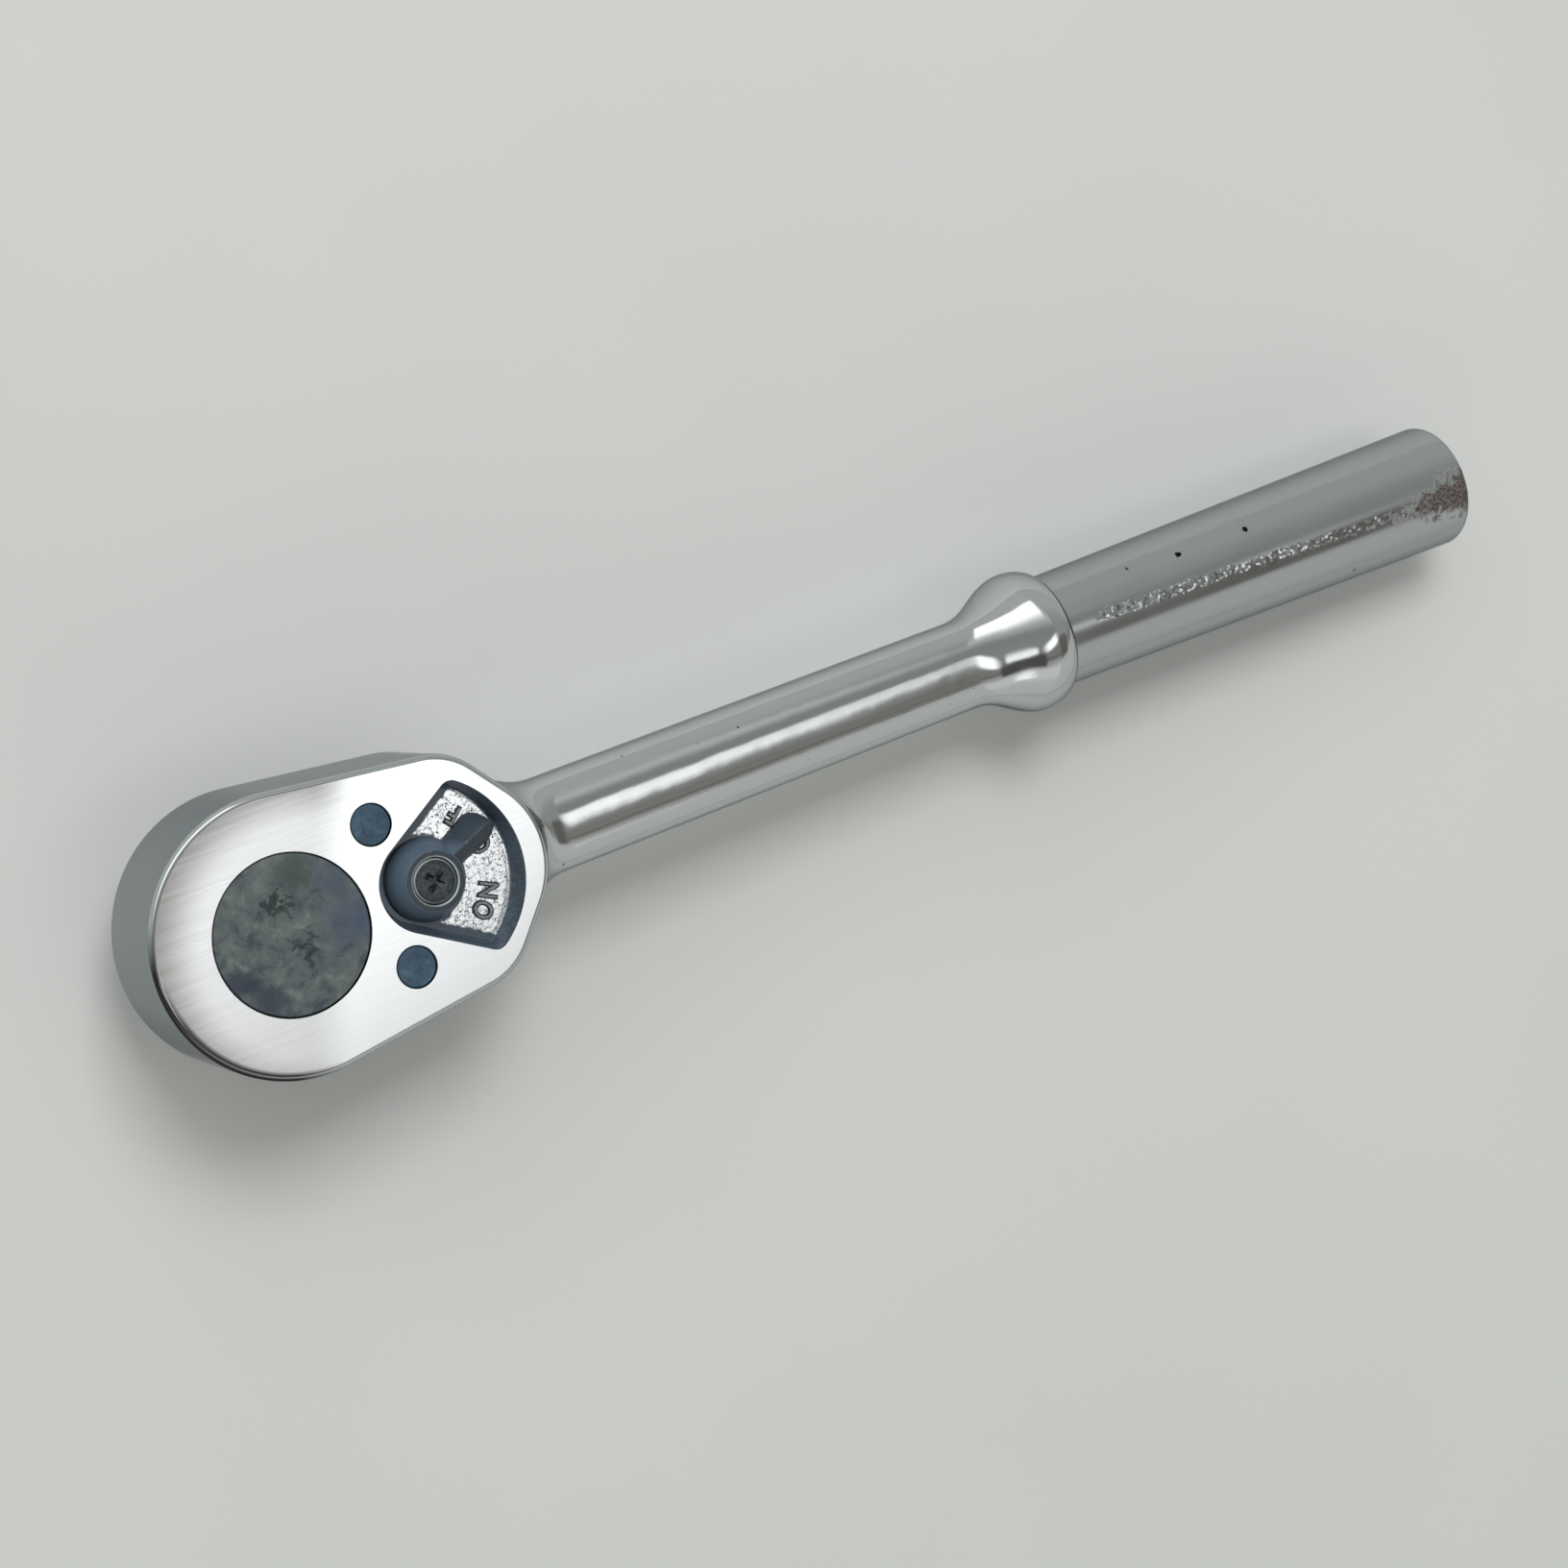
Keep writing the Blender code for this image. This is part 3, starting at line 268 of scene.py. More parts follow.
@dataclass(frozen=True)
class SatinPlate(Finish):
    """Chrome plate over a ground surface: a soft white sheen crossed by fine lines along the tool."""

    line_width: float = 0.16
    line_length: float = 60.0
    line_depth: float = 0.002
    streak: float = 0.8
    dull_colour: str = "#8A8986"
    dull_roughness: float = 0.10

    def lay(self, tree: bpy.types.NodeTree, shader: bpy.types.Node, grain: bpy.types.NodeSocket) -> None:
        """Lines are drawn wider than the real ones so that they show, and a dull share darkens and roughens the
        plate.
        """
        stretch = add_node(tree, "ShaderNodeMapping", {
            "Vector": grain, "Scale": (1 / self.line_length, 1 / self.line_width, 1 / self.line_width)})
        lines = add_node(tree, "ShaderNodeTexNoise", {
            "Vector": stretch.outputs["Vector"], "Scale": 1.0, "Detail": 3.0})
        smear = add_node(tree, "ShaderNodeMapping", {
            "Vector": grain, "Scale": (0.05 / self.streak, 1 / self.streak, 1.0)})
        streaks = add_node(tree, "ShaderNodeTexNoise", {
            "Vector": smear.outputs["Vector"], "Scale": 1.0, "Detail": 4.0, "Roughness": 0.6})
        share = self.dulled(tree, grain, streaks.outputs["Fac"])
        paint = add_node(tree, "ShaderNodeMix", {
            MIX_SHARE: share, MIX_FIRST: linear(self.colour), MIX_SECOND: linear(self.dull_colour)},
            data_type="RGBA")
        tree.links.new(paint.outputs[MIX_COLOUR], shader.inputs["Base Color"])
        fine = add_node(tree, "ShaderNodeMapRange", {
            "Value": lines.outputs["Fac"], "From Min": 0.3, "From Max": 0.7,
            "To Min": self.roughness - 0.02, "To Max": self.roughness + 0.03})
        rough = add_node(tree, "ShaderNodeMath", {
            0: share, 1: self.dull_roughness, 2: fine.outputs["Result"]}, operation="MULTIPLY_ADD")
        tree.links.new(rough.outputs[0], shader.inputs["Roughness"])
        bump = add_node(tree, "ShaderNodeBump", {
            "Height": lines.outputs["Fac"], "Distance": self.line_depth * MM, "Strength": 0.6})
        tree.links.new(bump.outputs["Normal"], shader.inputs["Normal"])

    def dulled(self, tree: bpy.types.NodeTree, grain: bpy.types.NodeSocket, streaks: bpy.types.NodeSocket
               ) -> bpy.types.NodeSocket:
        """Share of dulling, here in faint streaks all over."""
        share = add_node(tree, "ShaderNodeMapRange", {
            "Value": streaks, "From Min": 0.3, "From Max": 0.7, "To Max": 0.3})
        return share.outputs["Result"]


@dataclass(frozen=True)
class DarkEndFace(SatinPlate):
    """Linished face of the head: bright by the lever, darker and rougher round its end, with a painted dark
    reflection on its lower rim.
    """

    # The round end is dull away from a bright middle: its place, and where the dulling starts and is full
    bright_middle: tuple[float, float, float] = (3.0, -2.0, FACE_Z)
    dull_start: float = 17.0
    dull_full: float = 26.0
    dull_least: float = 0.33
    dull_most: float = 0.95
    dull_way: tuple[float, float, float] = (1.0, -0.35, 0.0)
    # Painted dark reflection where the face rolls over its lower rim: radius, way towards its middle and colour
    rim_radius: float = 21.0
    rim_way: tuple[float, float, float] = (-0.70, -0.72, 0.0)
    rim_dark_reflection_colour: str = "#4A4847"

    def lay(self, tree: bpy.types.NodeTree, shader: bpy.types.Node, grain: bpy.types.NodeSocket) -> None:
        """The satin plate is laid first, then a painted dark reflection where the face rolls over its lower rim."""
        super().lay(tree, shader, grain)
        plate = shader.inputs["Base Color"].links[0].from_socket
        # Painted dark reflection: a thin band at the lower rim of the face
        from_axis = add_node(tree, "ShaderNodeVectorMath", {0: grain, 1: (0.0, 0.0, FACE_Z)}, operation="DISTANCE")
        edge = add_node(tree, "ShaderNodeMapRange", {
            "Value": from_axis.outputs["Value"], "From Min": self.rim_radius - 0.4,
            "From Max": self.rim_radius + 0.2})
        side = add_node(tree, "ShaderNodeVectorMath", {0: grain, 1: self.rim_way}, operation="DOT_PRODUCT")
        lower = add_node(tree, "ShaderNodeMapRange", {
            "Value": side.outputs["Value"], "From Min": 14.0, "From Max": 19.0})
        rim = add_node(tree, "ShaderNodeMath", {0: edge.outputs["Result"], 1: lower.outputs["Result"]},
                       operation="MULTIPLY")
        rim_reflected = add_node(tree, "ShaderNodeMix", {
            MIX_SHARE: rim.outputs[0], MIX_FIRST: plate, MIX_SECOND: linear(self.rim_dark_reflection_colour)}, data_type="RGBA")
        tree.links.new(rim_reflected.outputs[MIX_COLOUR], shader.inputs["Base Color"])

    def dulled(self, tree: bpy.types.NodeTree, grain: bpy.types.NodeSocket, streaks: bpy.types.NodeSocket
               ) -> bpy.types.NodeSocket:
        """Share of dulling, which grows outward round the end and stays off the half by the lever."""
        away = add_node(tree, "ShaderNodeVectorMath", {0: grain, 1: self.bright_middle}, operation="DISTANCE")
        outer = add_node(tree, "ShaderNodeMapRange", {
            "Value": away.outputs["Value"], "From Min": self.dull_start, "From Max": self.dull_full,
            "To Min": self.dull_least, "To Max": self.dull_most}, interpolation_type="SMOOTHSTEP")
        slant = add_node(tree, "ShaderNodeVectorMath", {0: grain, 1: self.dull_way}, operation="DOT_PRODUCT")
        round_end = add_node(tree, "ShaderNodeMapRange", {
            "Value": slant.outputs["Value"], "From Min": 11.5, "From Max": 2.5}, interpolation_type="SMOOTHSTEP")
        towards = add_node(tree, "ShaderNodeMath", {0: outer.outputs["Result"], 1: round_end.outputs["Result"]},
                           operation="MULTIPLY")
        spread = add_node(tree, "ShaderNodeMapRange", {
            "Value": streaks, "From Min": 0.3, "From Max": 0.7, "To Min": 0.90, "To Max": 1.04})
        share = add_node(tree, "ShaderNodeMath", {0: towards.outputs[0], 1: spread.outputs["Result"]},
                         operation="MULTIPLY", use_clamp=True)
        return share.outputs[0]


@dataclass(frozen=True)
class WornGripPlate(Finish):
    """Chrome plate worn by the hand: dull grey, pitted along its crown and rusted through at the end."""

    pit: float = 0.5
    pit_tilt: float = 0.55
    rust_depth: float = 0.12
    # The pitted strip slants across the crown: its Y at the collar and its drift for each mm along X
    pit_start_x: float = 150.0
    pit_start_y: float = 1.3
    pit_drift: float = -0.04
    pit_half: float = 1.0
    rust: float = 1.9
    rust_start: float = 208.0
    rust_full: float = 231.0
    rust_y: float = -1.2
    rust_colour: str = "#352E2B"
    pale_rust_colour: str = "#7A706B"
    chip_colour: str = "#1F1C1A"
    # Chips through the plate: place and radius
    chips: tuple[tuple[float, float, float, float], ...] = (
        (170.7, 5.9, 34.8, 0.55), (185.1, 5.9, 35.1, 0.55), (160.5, 6.6, 34.0, 0.25), (206.0, -8.0, 33.5, 0.3))

    def lay(self, tree: bpy.types.NodeTree, shader: bpy.types.Node, grain: bpy.types.NodeSocket) -> None:
        """Pits sparkle in a strip along the crown, which runs into the rust at the end of the grip."""
        parts = add_node(tree, "ShaderNodeSeparateXYZ", {0: grain})
        top = add_node(tree, "ShaderNodeMath", {0: parts.outputs["Z"], 1: HANDLE_Z + 4.0}, operation="GREATER_THAN")
        fine = add_node(tree, "ShaderNodeTexNoise", {
            "Vector": grain, "Scale": 1 / self.pit, "Detail": 3.0, "Roughness": 0.6})
        blotch = add_node(tree, "ShaderNodeTexNoise", {
            "Vector": grain, "Scale": 1 / self.rust, "Detail": 6.0, "Roughness": 0.7})
        strip = self.strip(tree, parts, top, blotch)
        rust = self.rusted(tree, parts, top, blotch)
        tones = add_node(tree, "ShaderNodeValToRGB", {0: fine.outputs["Fac"]}, stops=(
            (0.40, self.rust_colour), (0.62, self.pale_rust_colour)))
        rusty = add_node(tree, "ShaderNodeMix", {
            MIX_SHARE: rust, MIX_FIRST: linear(self.colour), MIX_SECOND: tones.outputs["Color"]}, data_type="RGBA")
        colour = rusty.outputs[MIX_COLOUR]
        wobble = add_node(tree, "ShaderNodeMapRange", {"Value": fine.outputs["Fac"], "To Min": -0.5, "To Max": 0.5})
        for x, y, z, radius in self.chips:
            away = add_node(tree, "ShaderNodeVectorMath", {0: grain, 1: (x, y, z)}, operation="DISTANCE")
            edge = add_node(tree, "ShaderNodeMath", {0: away.outputs["Value"], 1: wobble.outputs["Result"]})
            chip = add_node(tree, "ShaderNodeMapRange", {
                "Value": edge.outputs[0], "From Min": radius + 0.1, "From Max": radius - 0.1})
            bare = add_node(tree, "ShaderNodeMix", {
                MIX_SHARE: chip.outputs["Result"], MIX_FIRST: colour, MIX_SECOND: linear(self.chip_colour)},
                data_type="RGBA")
            colour = bare.outputs[MIX_COLOUR]
        tree.links.new(colour, shader.inputs["Base Color"])
        metal = add_node(tree, "ShaderNodeMapRange", {"Value": rust, "To Min": self.metallic, "To Max": 0.5})
        tree.links.new(metal.outputs["Result"], shader.inputs["Metallic"])
        haze = add_node(tree, "ShaderNodeTexNoise", {"Vector": grain, "Scale": 1 / 10.0, "Detail": 5.0})
        dull = add_node(tree, "ShaderNodeMapRange", {
            "Value": haze.outputs["Fac"], "From Min": 0.3, "From Max": 0.7,
            "To Min": self.roughness - 0.04, "To Max": self.roughness + 0.05})
        rough = add_node(tree, "ShaderNodeMath", {0: rust, 1: 0.2, 2: dull.outputs["Result"]},
                         operation="MULTIPLY_ADD")
        tree.links.new(rough.outputs[0], shader.inputs["Roughness"])
        relief = add_node(tree, "ShaderNodeMath", {0: rust, 1: fine.outputs["Fac"]}, operation="MULTIPLY")
        bump = add_node(tree, "ShaderNodeBump", {"Height": relief.outputs[0], "Distance": self.rust_depth * MM})
        cells = add_node(tree, "ShaderNodeTexVoronoi", {"Vector": grain, "Scale": 1 / self.pit})
        lean = add_node(tree, "ShaderNodeVectorMath", {0: cells.outputs["Color"], 1: (-0.5, -0.5, -0.5)})
        depth = add_node(tree, "ShaderNodeMath", {0: strip, 1: self.pit_tilt}, operation="MULTIPLY")
        tilt = add_node(tree, "ShaderNodeVectorMath", {0: lean.outputs["Vector"], "Scale": depth.outputs[0]},
                        operation="SCALE")
        facet = add_node(tree, "ShaderNodeVectorMath", {0: bump.outputs["Normal"], 1: tilt.outputs["Vector"]})
        level = add_node(tree, "ShaderNodeVectorMath", {0: facet.outputs["Vector"]}, operation="NORMALIZE")
        tree.links.new(level.outputs["Vector"], shader.inputs["Normal"])

    def strip(self, tree: bpy.types.NodeTree, parts: bpy.types.Node, top: bpy.types.Node, blotch: bpy.types.Node
              ) -> bpy.types.NodeSocket:
        """Share of pitting, strongest at the collar end of its slanting strip."""
        middle = add_node(tree, "ShaderNodeMath", {
            0: parts.outputs["X"], 1: self.pit_drift, 2: self.pit_start_y - self.pit_drift * self.pit_start_x},
            operation="MULTIPLY_ADD")
        off = add_node(tree, "ShaderNodeMath", {0: parts.outputs["Y"], 1: middle.outputs[0]}, operation="SUBTRACT")
        away = add_node(tree, "ShaderNodeMath", {0: off.outputs[0]}, operation="ABSOLUTE")
        ragged = add_node(tree, "ShaderNodeMath", {0: blotch.outputs["Fac"], 1: -2.4, 2: away.outputs[0]},
                          operation="MULTIPLY_ADD")
        inside = add_node(tree, "ShaderNodeMapRange", {
            "Value": ragged.outputs[0], "From Min": self.pit_half - 1.0, "From Max": self.pit_half - 1.8})
        fade = add_node(tree, "ShaderNodeMapRange", {
            "Value": parts.outputs["X"], "From Min": self.pit_start_x + 6.0, "From Max": self.rust_full,
            "To Min": 1.0, "To Max": 0.35})
        start = add_node(tree, "ShaderNodeMapRange", {
            "Value": parts.outputs["X"], "From Min": self.pit_start_x, "From Max": self.pit_start_x + 3.0})
        along = add_node(tree, "ShaderNodeMath", {0: fade.outputs["Result"], 1: start.outputs["Result"]},
                         operation="MULTIPLY")
        share = add_node(tree, "ShaderNodeMath", {0: inside.outputs["Result"], 1: along.outputs[0]},
                         operation="MULTIPLY")
        upper = add_node(tree, "ShaderNodeMath", {0: share.outputs[0], 1: top.outputs[0]}, operation="MULTIPLY")
        return upper.outputs[0]

    def rusted(self, tree: bpy.types.NodeTree, parts: bpy.types.Node, top: bpy.types.Node, blotch: bpy.types.Node
               ) -> bpy.types.NodeSocket:
        """Share of rust, which widens from a point on the crown to the end of the grip."""
        along = add_node(tree, "ShaderNodeMapRange", {
            "Value": parts.outputs["X"], "From Min": self.rust_start, "From Max": self.rust_full,
            "To Min": -0.30, "To Max": 0.30})
        off = add_node(tree, "ShaderNodeMath", {0: parts.outputs["Y"], 1: self.rust_y}, operation="SUBTRACT")
        away = add_node(tree, "ShaderNodeMath", {0: off.outputs[0]}, operation="ABSOLUTE")
        near = add_node(tree, "ShaderNodeMath", {0: away.outputs[0], 1: -0.085, 2: along.outputs["Result"]},
                        operation="MULTIPLY_ADD")
        both = add_node(tree, "ShaderNodeMath", {0: near.outputs[0], 1: blotch.outputs["Fac"]})
        patch = add_node(tree, "ShaderNodeMapRange", {
            "Value": both.outputs[0], "From Min": 0.36, "From Max": 0.52, "To Max": 0.92})
        upper = add_node(tree, "ShaderNodeMath", {0: patch.outputs["Result"], 1: top.outputs[0]},
                         operation="MULTIPLY")
        return upper.outputs[0]


@dataclass(frozen=True)
class RecessPaint(Finish):
    """Blue black oxide left in the walls of the recess: dark, a little glossy, with a fine cast grain."""

    cast: float = 0.5
    depth: float = 0.05
    worn_colour: str = "#56636E"

    def lay(self, tree: bpy.types.NodeTree, shader: bpy.types.Node, grain: bpy.types.NodeSocket) -> None:
        """The cast grain carries paler rubbed tops."""
        cast = add_node(tree, "ShaderNodeTexNoise", {"Vector": grain, "Scale": 1 / self.cast, "Detail": 4.0})
        tones = add_node(tree, "ShaderNodeValToRGB", {0: cast.outputs["Fac"]}, stops=(
            (0.45, self.colour), (0.75, self.worn_colour)))
        tree.links.new(tones.outputs["Color"], shader.inputs["Base Color"])
        bump = add_node(tree, "ShaderNodeBump", {"Height": cast.outputs["Fac"], "Distance": self.depth * MM})
        tree.links.new(bump.outputs["Normal"], shader.inputs["Normal"])


@dataclass(frozen=True)
class RecessFloor(Finish):
    """Plated cast floor of the recess: bright silver broken by fine dark worm marks, and dark round the hub and along
    the walls, partly oxide and partly painted shade.
    """

    worm: float = 0.62
    worm_width: float = 0.045
    pebble_depth: float = 0.012
    oxide_and_shade_colour: str = "#3A4550"
    oxide_and_shade_radius: float = 7.5
    # Dark band along the straight walls, partly oxide and partly painted shade: which way the wall looks, its
    # distance from the pivot and the band's width
    wall_way: tuple[float, float, float] = (-0.524, 0.852, 0.0)
    wall_reach: float = 7.7
    wall_oxide_and_shade: float = 2.5

    def lay(self, tree: bpy.types.NodeTree, shader: bpy.types.Node, grain: bpy.types.NodeSocket) -> None:
        """Worm marks are the level lines of a noise; oxide stays in them, and a ragged dark ring round the hub and a
        band along the walls are partly oxide and partly painted shade.
        """
        pebbles = add_node(tree, "ShaderNodeTexNoise", {
            "Vector": grain, "Scale": 1 / self.worm, "Detail": 2.0, "Roughness": 0.55, "Distortion": 0.6})
        level = add_node(tree, "ShaderNodeMath", {0: pebbles.outputs["Fac"], 1: 0.5}, operation="SUBTRACT")
        off_line = add_node(tree, "ShaderNodeMath", {0: level.outputs[0]}, operation="ABSOLUTE")
        line = add_node(tree, "ShaderNodeMapRange", {
            "Value": off_line.outputs[0], "From Min": self.worm_width, "From Max": self.worm_width * 0.4})
        breaks = add_node(tree, "ShaderNodeTexNoise", {"Vector": grain, "Scale": 1 / 0.9, "Detail": 2.0})
        kept = add_node(tree, "ShaderNodeMapRange", {
            "Value": breaks.outputs["Fac"], "From Min": 0.41, "From Max": 0.49})
        worms = add_node(tree, "ShaderNodeMath", {0: line.outputs["Result"], 1: kept.outputs["Result"]},
                         operation="MULTIPLY")
        flat = add_node(tree, "ShaderNodeMapping", {
            "Vector": grain, "Location": (-RECESS_X, 0.0, 0.0), "Scale": (1.0, 1.0, 0.0)})
        reach = add_node(tree, "ShaderNodeVectorMath", {0: flat.outputs["Vector"]}, operation="LENGTH")
        ragged = add_node(tree, "ShaderNodeMath", {0: breaks.outputs["Fac"], 1: -1.6, 2: reach.outputs["Value"]},
                          operation="MULTIPLY_ADD")
        # Ragged dark ring round the hub: partly oxide, partly painted contact shade
        hub = add_node(tree, "ShaderNodeMapRange", {
            "Value": ragged.outputs[0], "From Min": self.oxide_and_shade_radius - 0.6, "From Max": self.oxide_and_shade_radius - 0.9})
        # Dark band along both straight walls, partly oxide and partly painted shade at their foot
        mirrored = add_node(tree, "ShaderNodeVectorMath", {0: flat.outputs["Vector"]}, operation="ABSOLUTE")
        both = add_node(tree, "ShaderNodeSeparateXYZ", {0: mirrored.outputs["Vector"]})
        single = add_node(tree, "ShaderNodeSeparateXYZ", {0: flat.outputs["Vector"]})
        folded = add_node(tree, "ShaderNodeCombineXYZ", {0: single.outputs["X"], 1: both.outputs["Y"]})
        beside = add_node(tree, "ShaderNodeVectorMath", {0: folded.outputs["Vector"], 1: self.wall_way},
                          operation="DOT_PRODUCT")
        uneven = add_node(tree, "ShaderNodeMath", {0: breaks.outputs["Fac"], 1: 0.9, 2: beside.outputs["Value"]},
                          operation="MULTIPLY_ADD")
        border = self.wall_reach - self.wall_oxide_and_shade + 0.45
        wall = add_node(tree, "ShaderNodeMapRange", {
            "Value": uneven.outputs[0], "From Min": border - 0.15, "From Max": border + 0.15})
        # Hub ring and wall band together: partly oxide, partly painted shade
        oxide = add_node(tree, "ShaderNodeMath", {0: hub.outputs["Result"], 1: wall.outputs["Result"]},
                         operation="MAXIMUM")
        dark = add_node(tree, "ShaderNodeMath", {0: worms.outputs[0], 1: oxide.outputs[0]}, operation="MAXIMUM")
        paint = add_node(tree, "ShaderNodeMix", {
            MIX_SHARE: dark.outputs[0], MIX_FIRST: linear(self.colour), MIX_SECOND: linear(self.oxide_and_shade_colour)},
            data_type="RGBA")
        tree.links.new(paint.outputs[MIX_COLOUR], shader.inputs["Base Color"])
        metal = add_node(tree, "ShaderNodeMapRange", {
            "Value": dark.outputs[0], "To Min": self.metallic, "To Max": 0.2})
        tree.links.new(metal.outputs["Result"], shader.inputs["Metallic"])
        bump = add_node(tree, "ShaderNodeBump", {
            "Height": pebbles.outputs["Fac"], "Distance": self.pebble_depth * MM})
        tree.links.new(bump.outputs["Normal"], shader.inputs["Normal"])


@dataclass(frozen=True)
class BluedSteel(Finish):
    """Hardened and blued steel: mottled grey green and indigo, with black marks from use."""

    mottle: float = 3.4
    indigo: str = "#434C55"
    green: str = "#616B69"
    pale: str = "#737B78"
    mark_colour: str = "#262C2C"
    mark: float = 2.6
    warp: float = 9.0
    # Larger stains of heat colour: X, Y, Z, radius and tone
    stains: tuple[tuple[float, float, float, float, str], ...] = ()
    # Scuffed places, where scratches gather: X, Y, Z and radius
    scuffs: tuple[tuple[float, float, float, float], ...] = ()

    def lay(self, tree: bpy.types.NodeTree, shader: bpy.types.Node, grain: bpy.types.NodeSocket) -> None:
        """Clouds of oxide colour and ragged stains under small dark marks and a faint grain."""
        clouds = add_node(tree, "ShaderNodeTexNoise", {
            "Vector": grain, "Scale": 1 / self.mottle, "Detail": 7.0, "Roughness": 0.66, "Distortion": 0.4})
        tones = add_node(tree, "ShaderNodeValToRGB", {0: clouds.outputs["Fac"]}, stops=(
            (0.36, self.indigo), (0.47, self.colour), (0.55, self.green), (0.66, self.pale)))
        colour = tones.outputs["Color"]
        shift = add_node(tree, "ShaderNodeVectorMath", {
            0: clouds.outputs["Color"], 1: (-0.5, -0.5, -0.5)})
        ragged = add_node(tree, "ShaderNodeVectorMath", {
            0: shift.outputs["Vector"], 1: (self.warp, self.warp, 0.0), 2: grain}, operation="MULTIPLY_ADD")
        for x, y, z, radius, tone in self.stains:
            away = add_node(tree, "ShaderNodeVectorMath", {0: ragged.outputs["Vector"], 1: (x, y, z)},
                            operation="DISTANCE")
            share = add_node(tree, "ShaderNodeMapRange", {
                "Value": away.outputs["Value"], "From Min": radius * 1.5, "From Max": radius * 0.4, "To Max": 0.85},
                interpolation_type="SMOOTHSTEP")
            stain = add_node(tree, "ShaderNodeMix", {
                MIX_SHARE: share.outputs["Result"], MIX_FIRST: colour, MIX_SECOND: linear(tone)}, data_type="RGBA")
            colour = stain.outputs[MIX_COLOUR]
        colour = self.scratched(tree, ragged.outputs["Vector"], colour)
        spots = add_node(tree, "ShaderNodeTexNoise", {
            "Vector": grain, "Scale": 1 / self.mark, "Detail": 6.0, "Roughness": 0.75, "Distortion": 1.5})
        marks = add_node(tree, "ShaderNodeMapRange", {
            "Value": spots.outputs["Fac"], "From Min": 0.63, "From Max": 0.70, "To Max": 0.8})
        paint = add_node(tree, "ShaderNodeMix", {
            MIX_SHARE: marks.outputs["Result"], MIX_FIRST: colour, MIX_SECOND: linear(self.mark_colour)},
            data_type="RGBA")
        tree.links.new(paint.outputs[MIX_COLOUR], shader.inputs["Base Color"])
        rough = add_node(tree, "ShaderNodeMapRange", {
            "Value": clouds.outputs["Fac"], "From Min": 0.3, "From Max": 0.7,
            "To Min": self.roughness + 0.08, "To Max": self.roughness - 0.06})
        tree.links.new(rough.outputs["Result"], shader.inputs["Roughness"])
        bump = add_node(tree, "ShaderNodeBump", {"Height": spots.outputs["Fac"], "Distance": 0.04 * MM})
        tree.links.new(bump.outputs["Normal"], shader.inputs["Normal"])

    def scratched(self, tree: bpy.types.NodeTree, ragged: bpy.types.NodeSocket, colour: bpy.types.NodeSocket
                  ) -> bpy.types.NodeSocket:
        """Draws ragged black scratches, thickest in the middle of each scuffed place."""
        ridges = add_node(tree, "ShaderNodeTexNoise", {
            "Vector": ragged, "Scale": 1 / 6.0, "Detail": 6.0, "Roughness": 0.68, "Distortion": 0.8})
        level = add_node(tree, "ShaderNodeMath", {0: ridges.outputs["Fac"], 1: 0.5}, operation="SUBTRACT")
        off_line = add_node(tree, "ShaderNodeMath", {0: level.outputs[0]}, operation="ABSOLUTE")
        for x, y, z, radius in self.scuffs:
            away = add_node(tree, "ShaderNodeVectorMath", {0: ragged, 1: (x, y, z)}, operation="DISTANCE")
            width = add_node(tree, "ShaderNodeMapRange", {
                "Value": away.outputs["Value"], "From Min": radius, "To Min": 0.0, "To Max": 0.06})
            inside = add_node(tree, "ShaderNodeMath", {0: width.outputs["Result"], 1: off_line.outputs[0]},
                              operation="SUBTRACT")
            share = add_node(tree, "ShaderNodeMapRange", {
                "Value": inside.outputs[0], "From Max": 0.02, "To Max": 0.85})
            mixed = add_node(tree, "ShaderNodeMix", {
                MIX_SHARE: share.outputs["Result"], MIX_FIRST: colour, MIX_SECOND: linear(self.mark_colour)},
                data_type="RGBA")
            colour = mixed.outputs[MIX_COLOUR]
        return colour


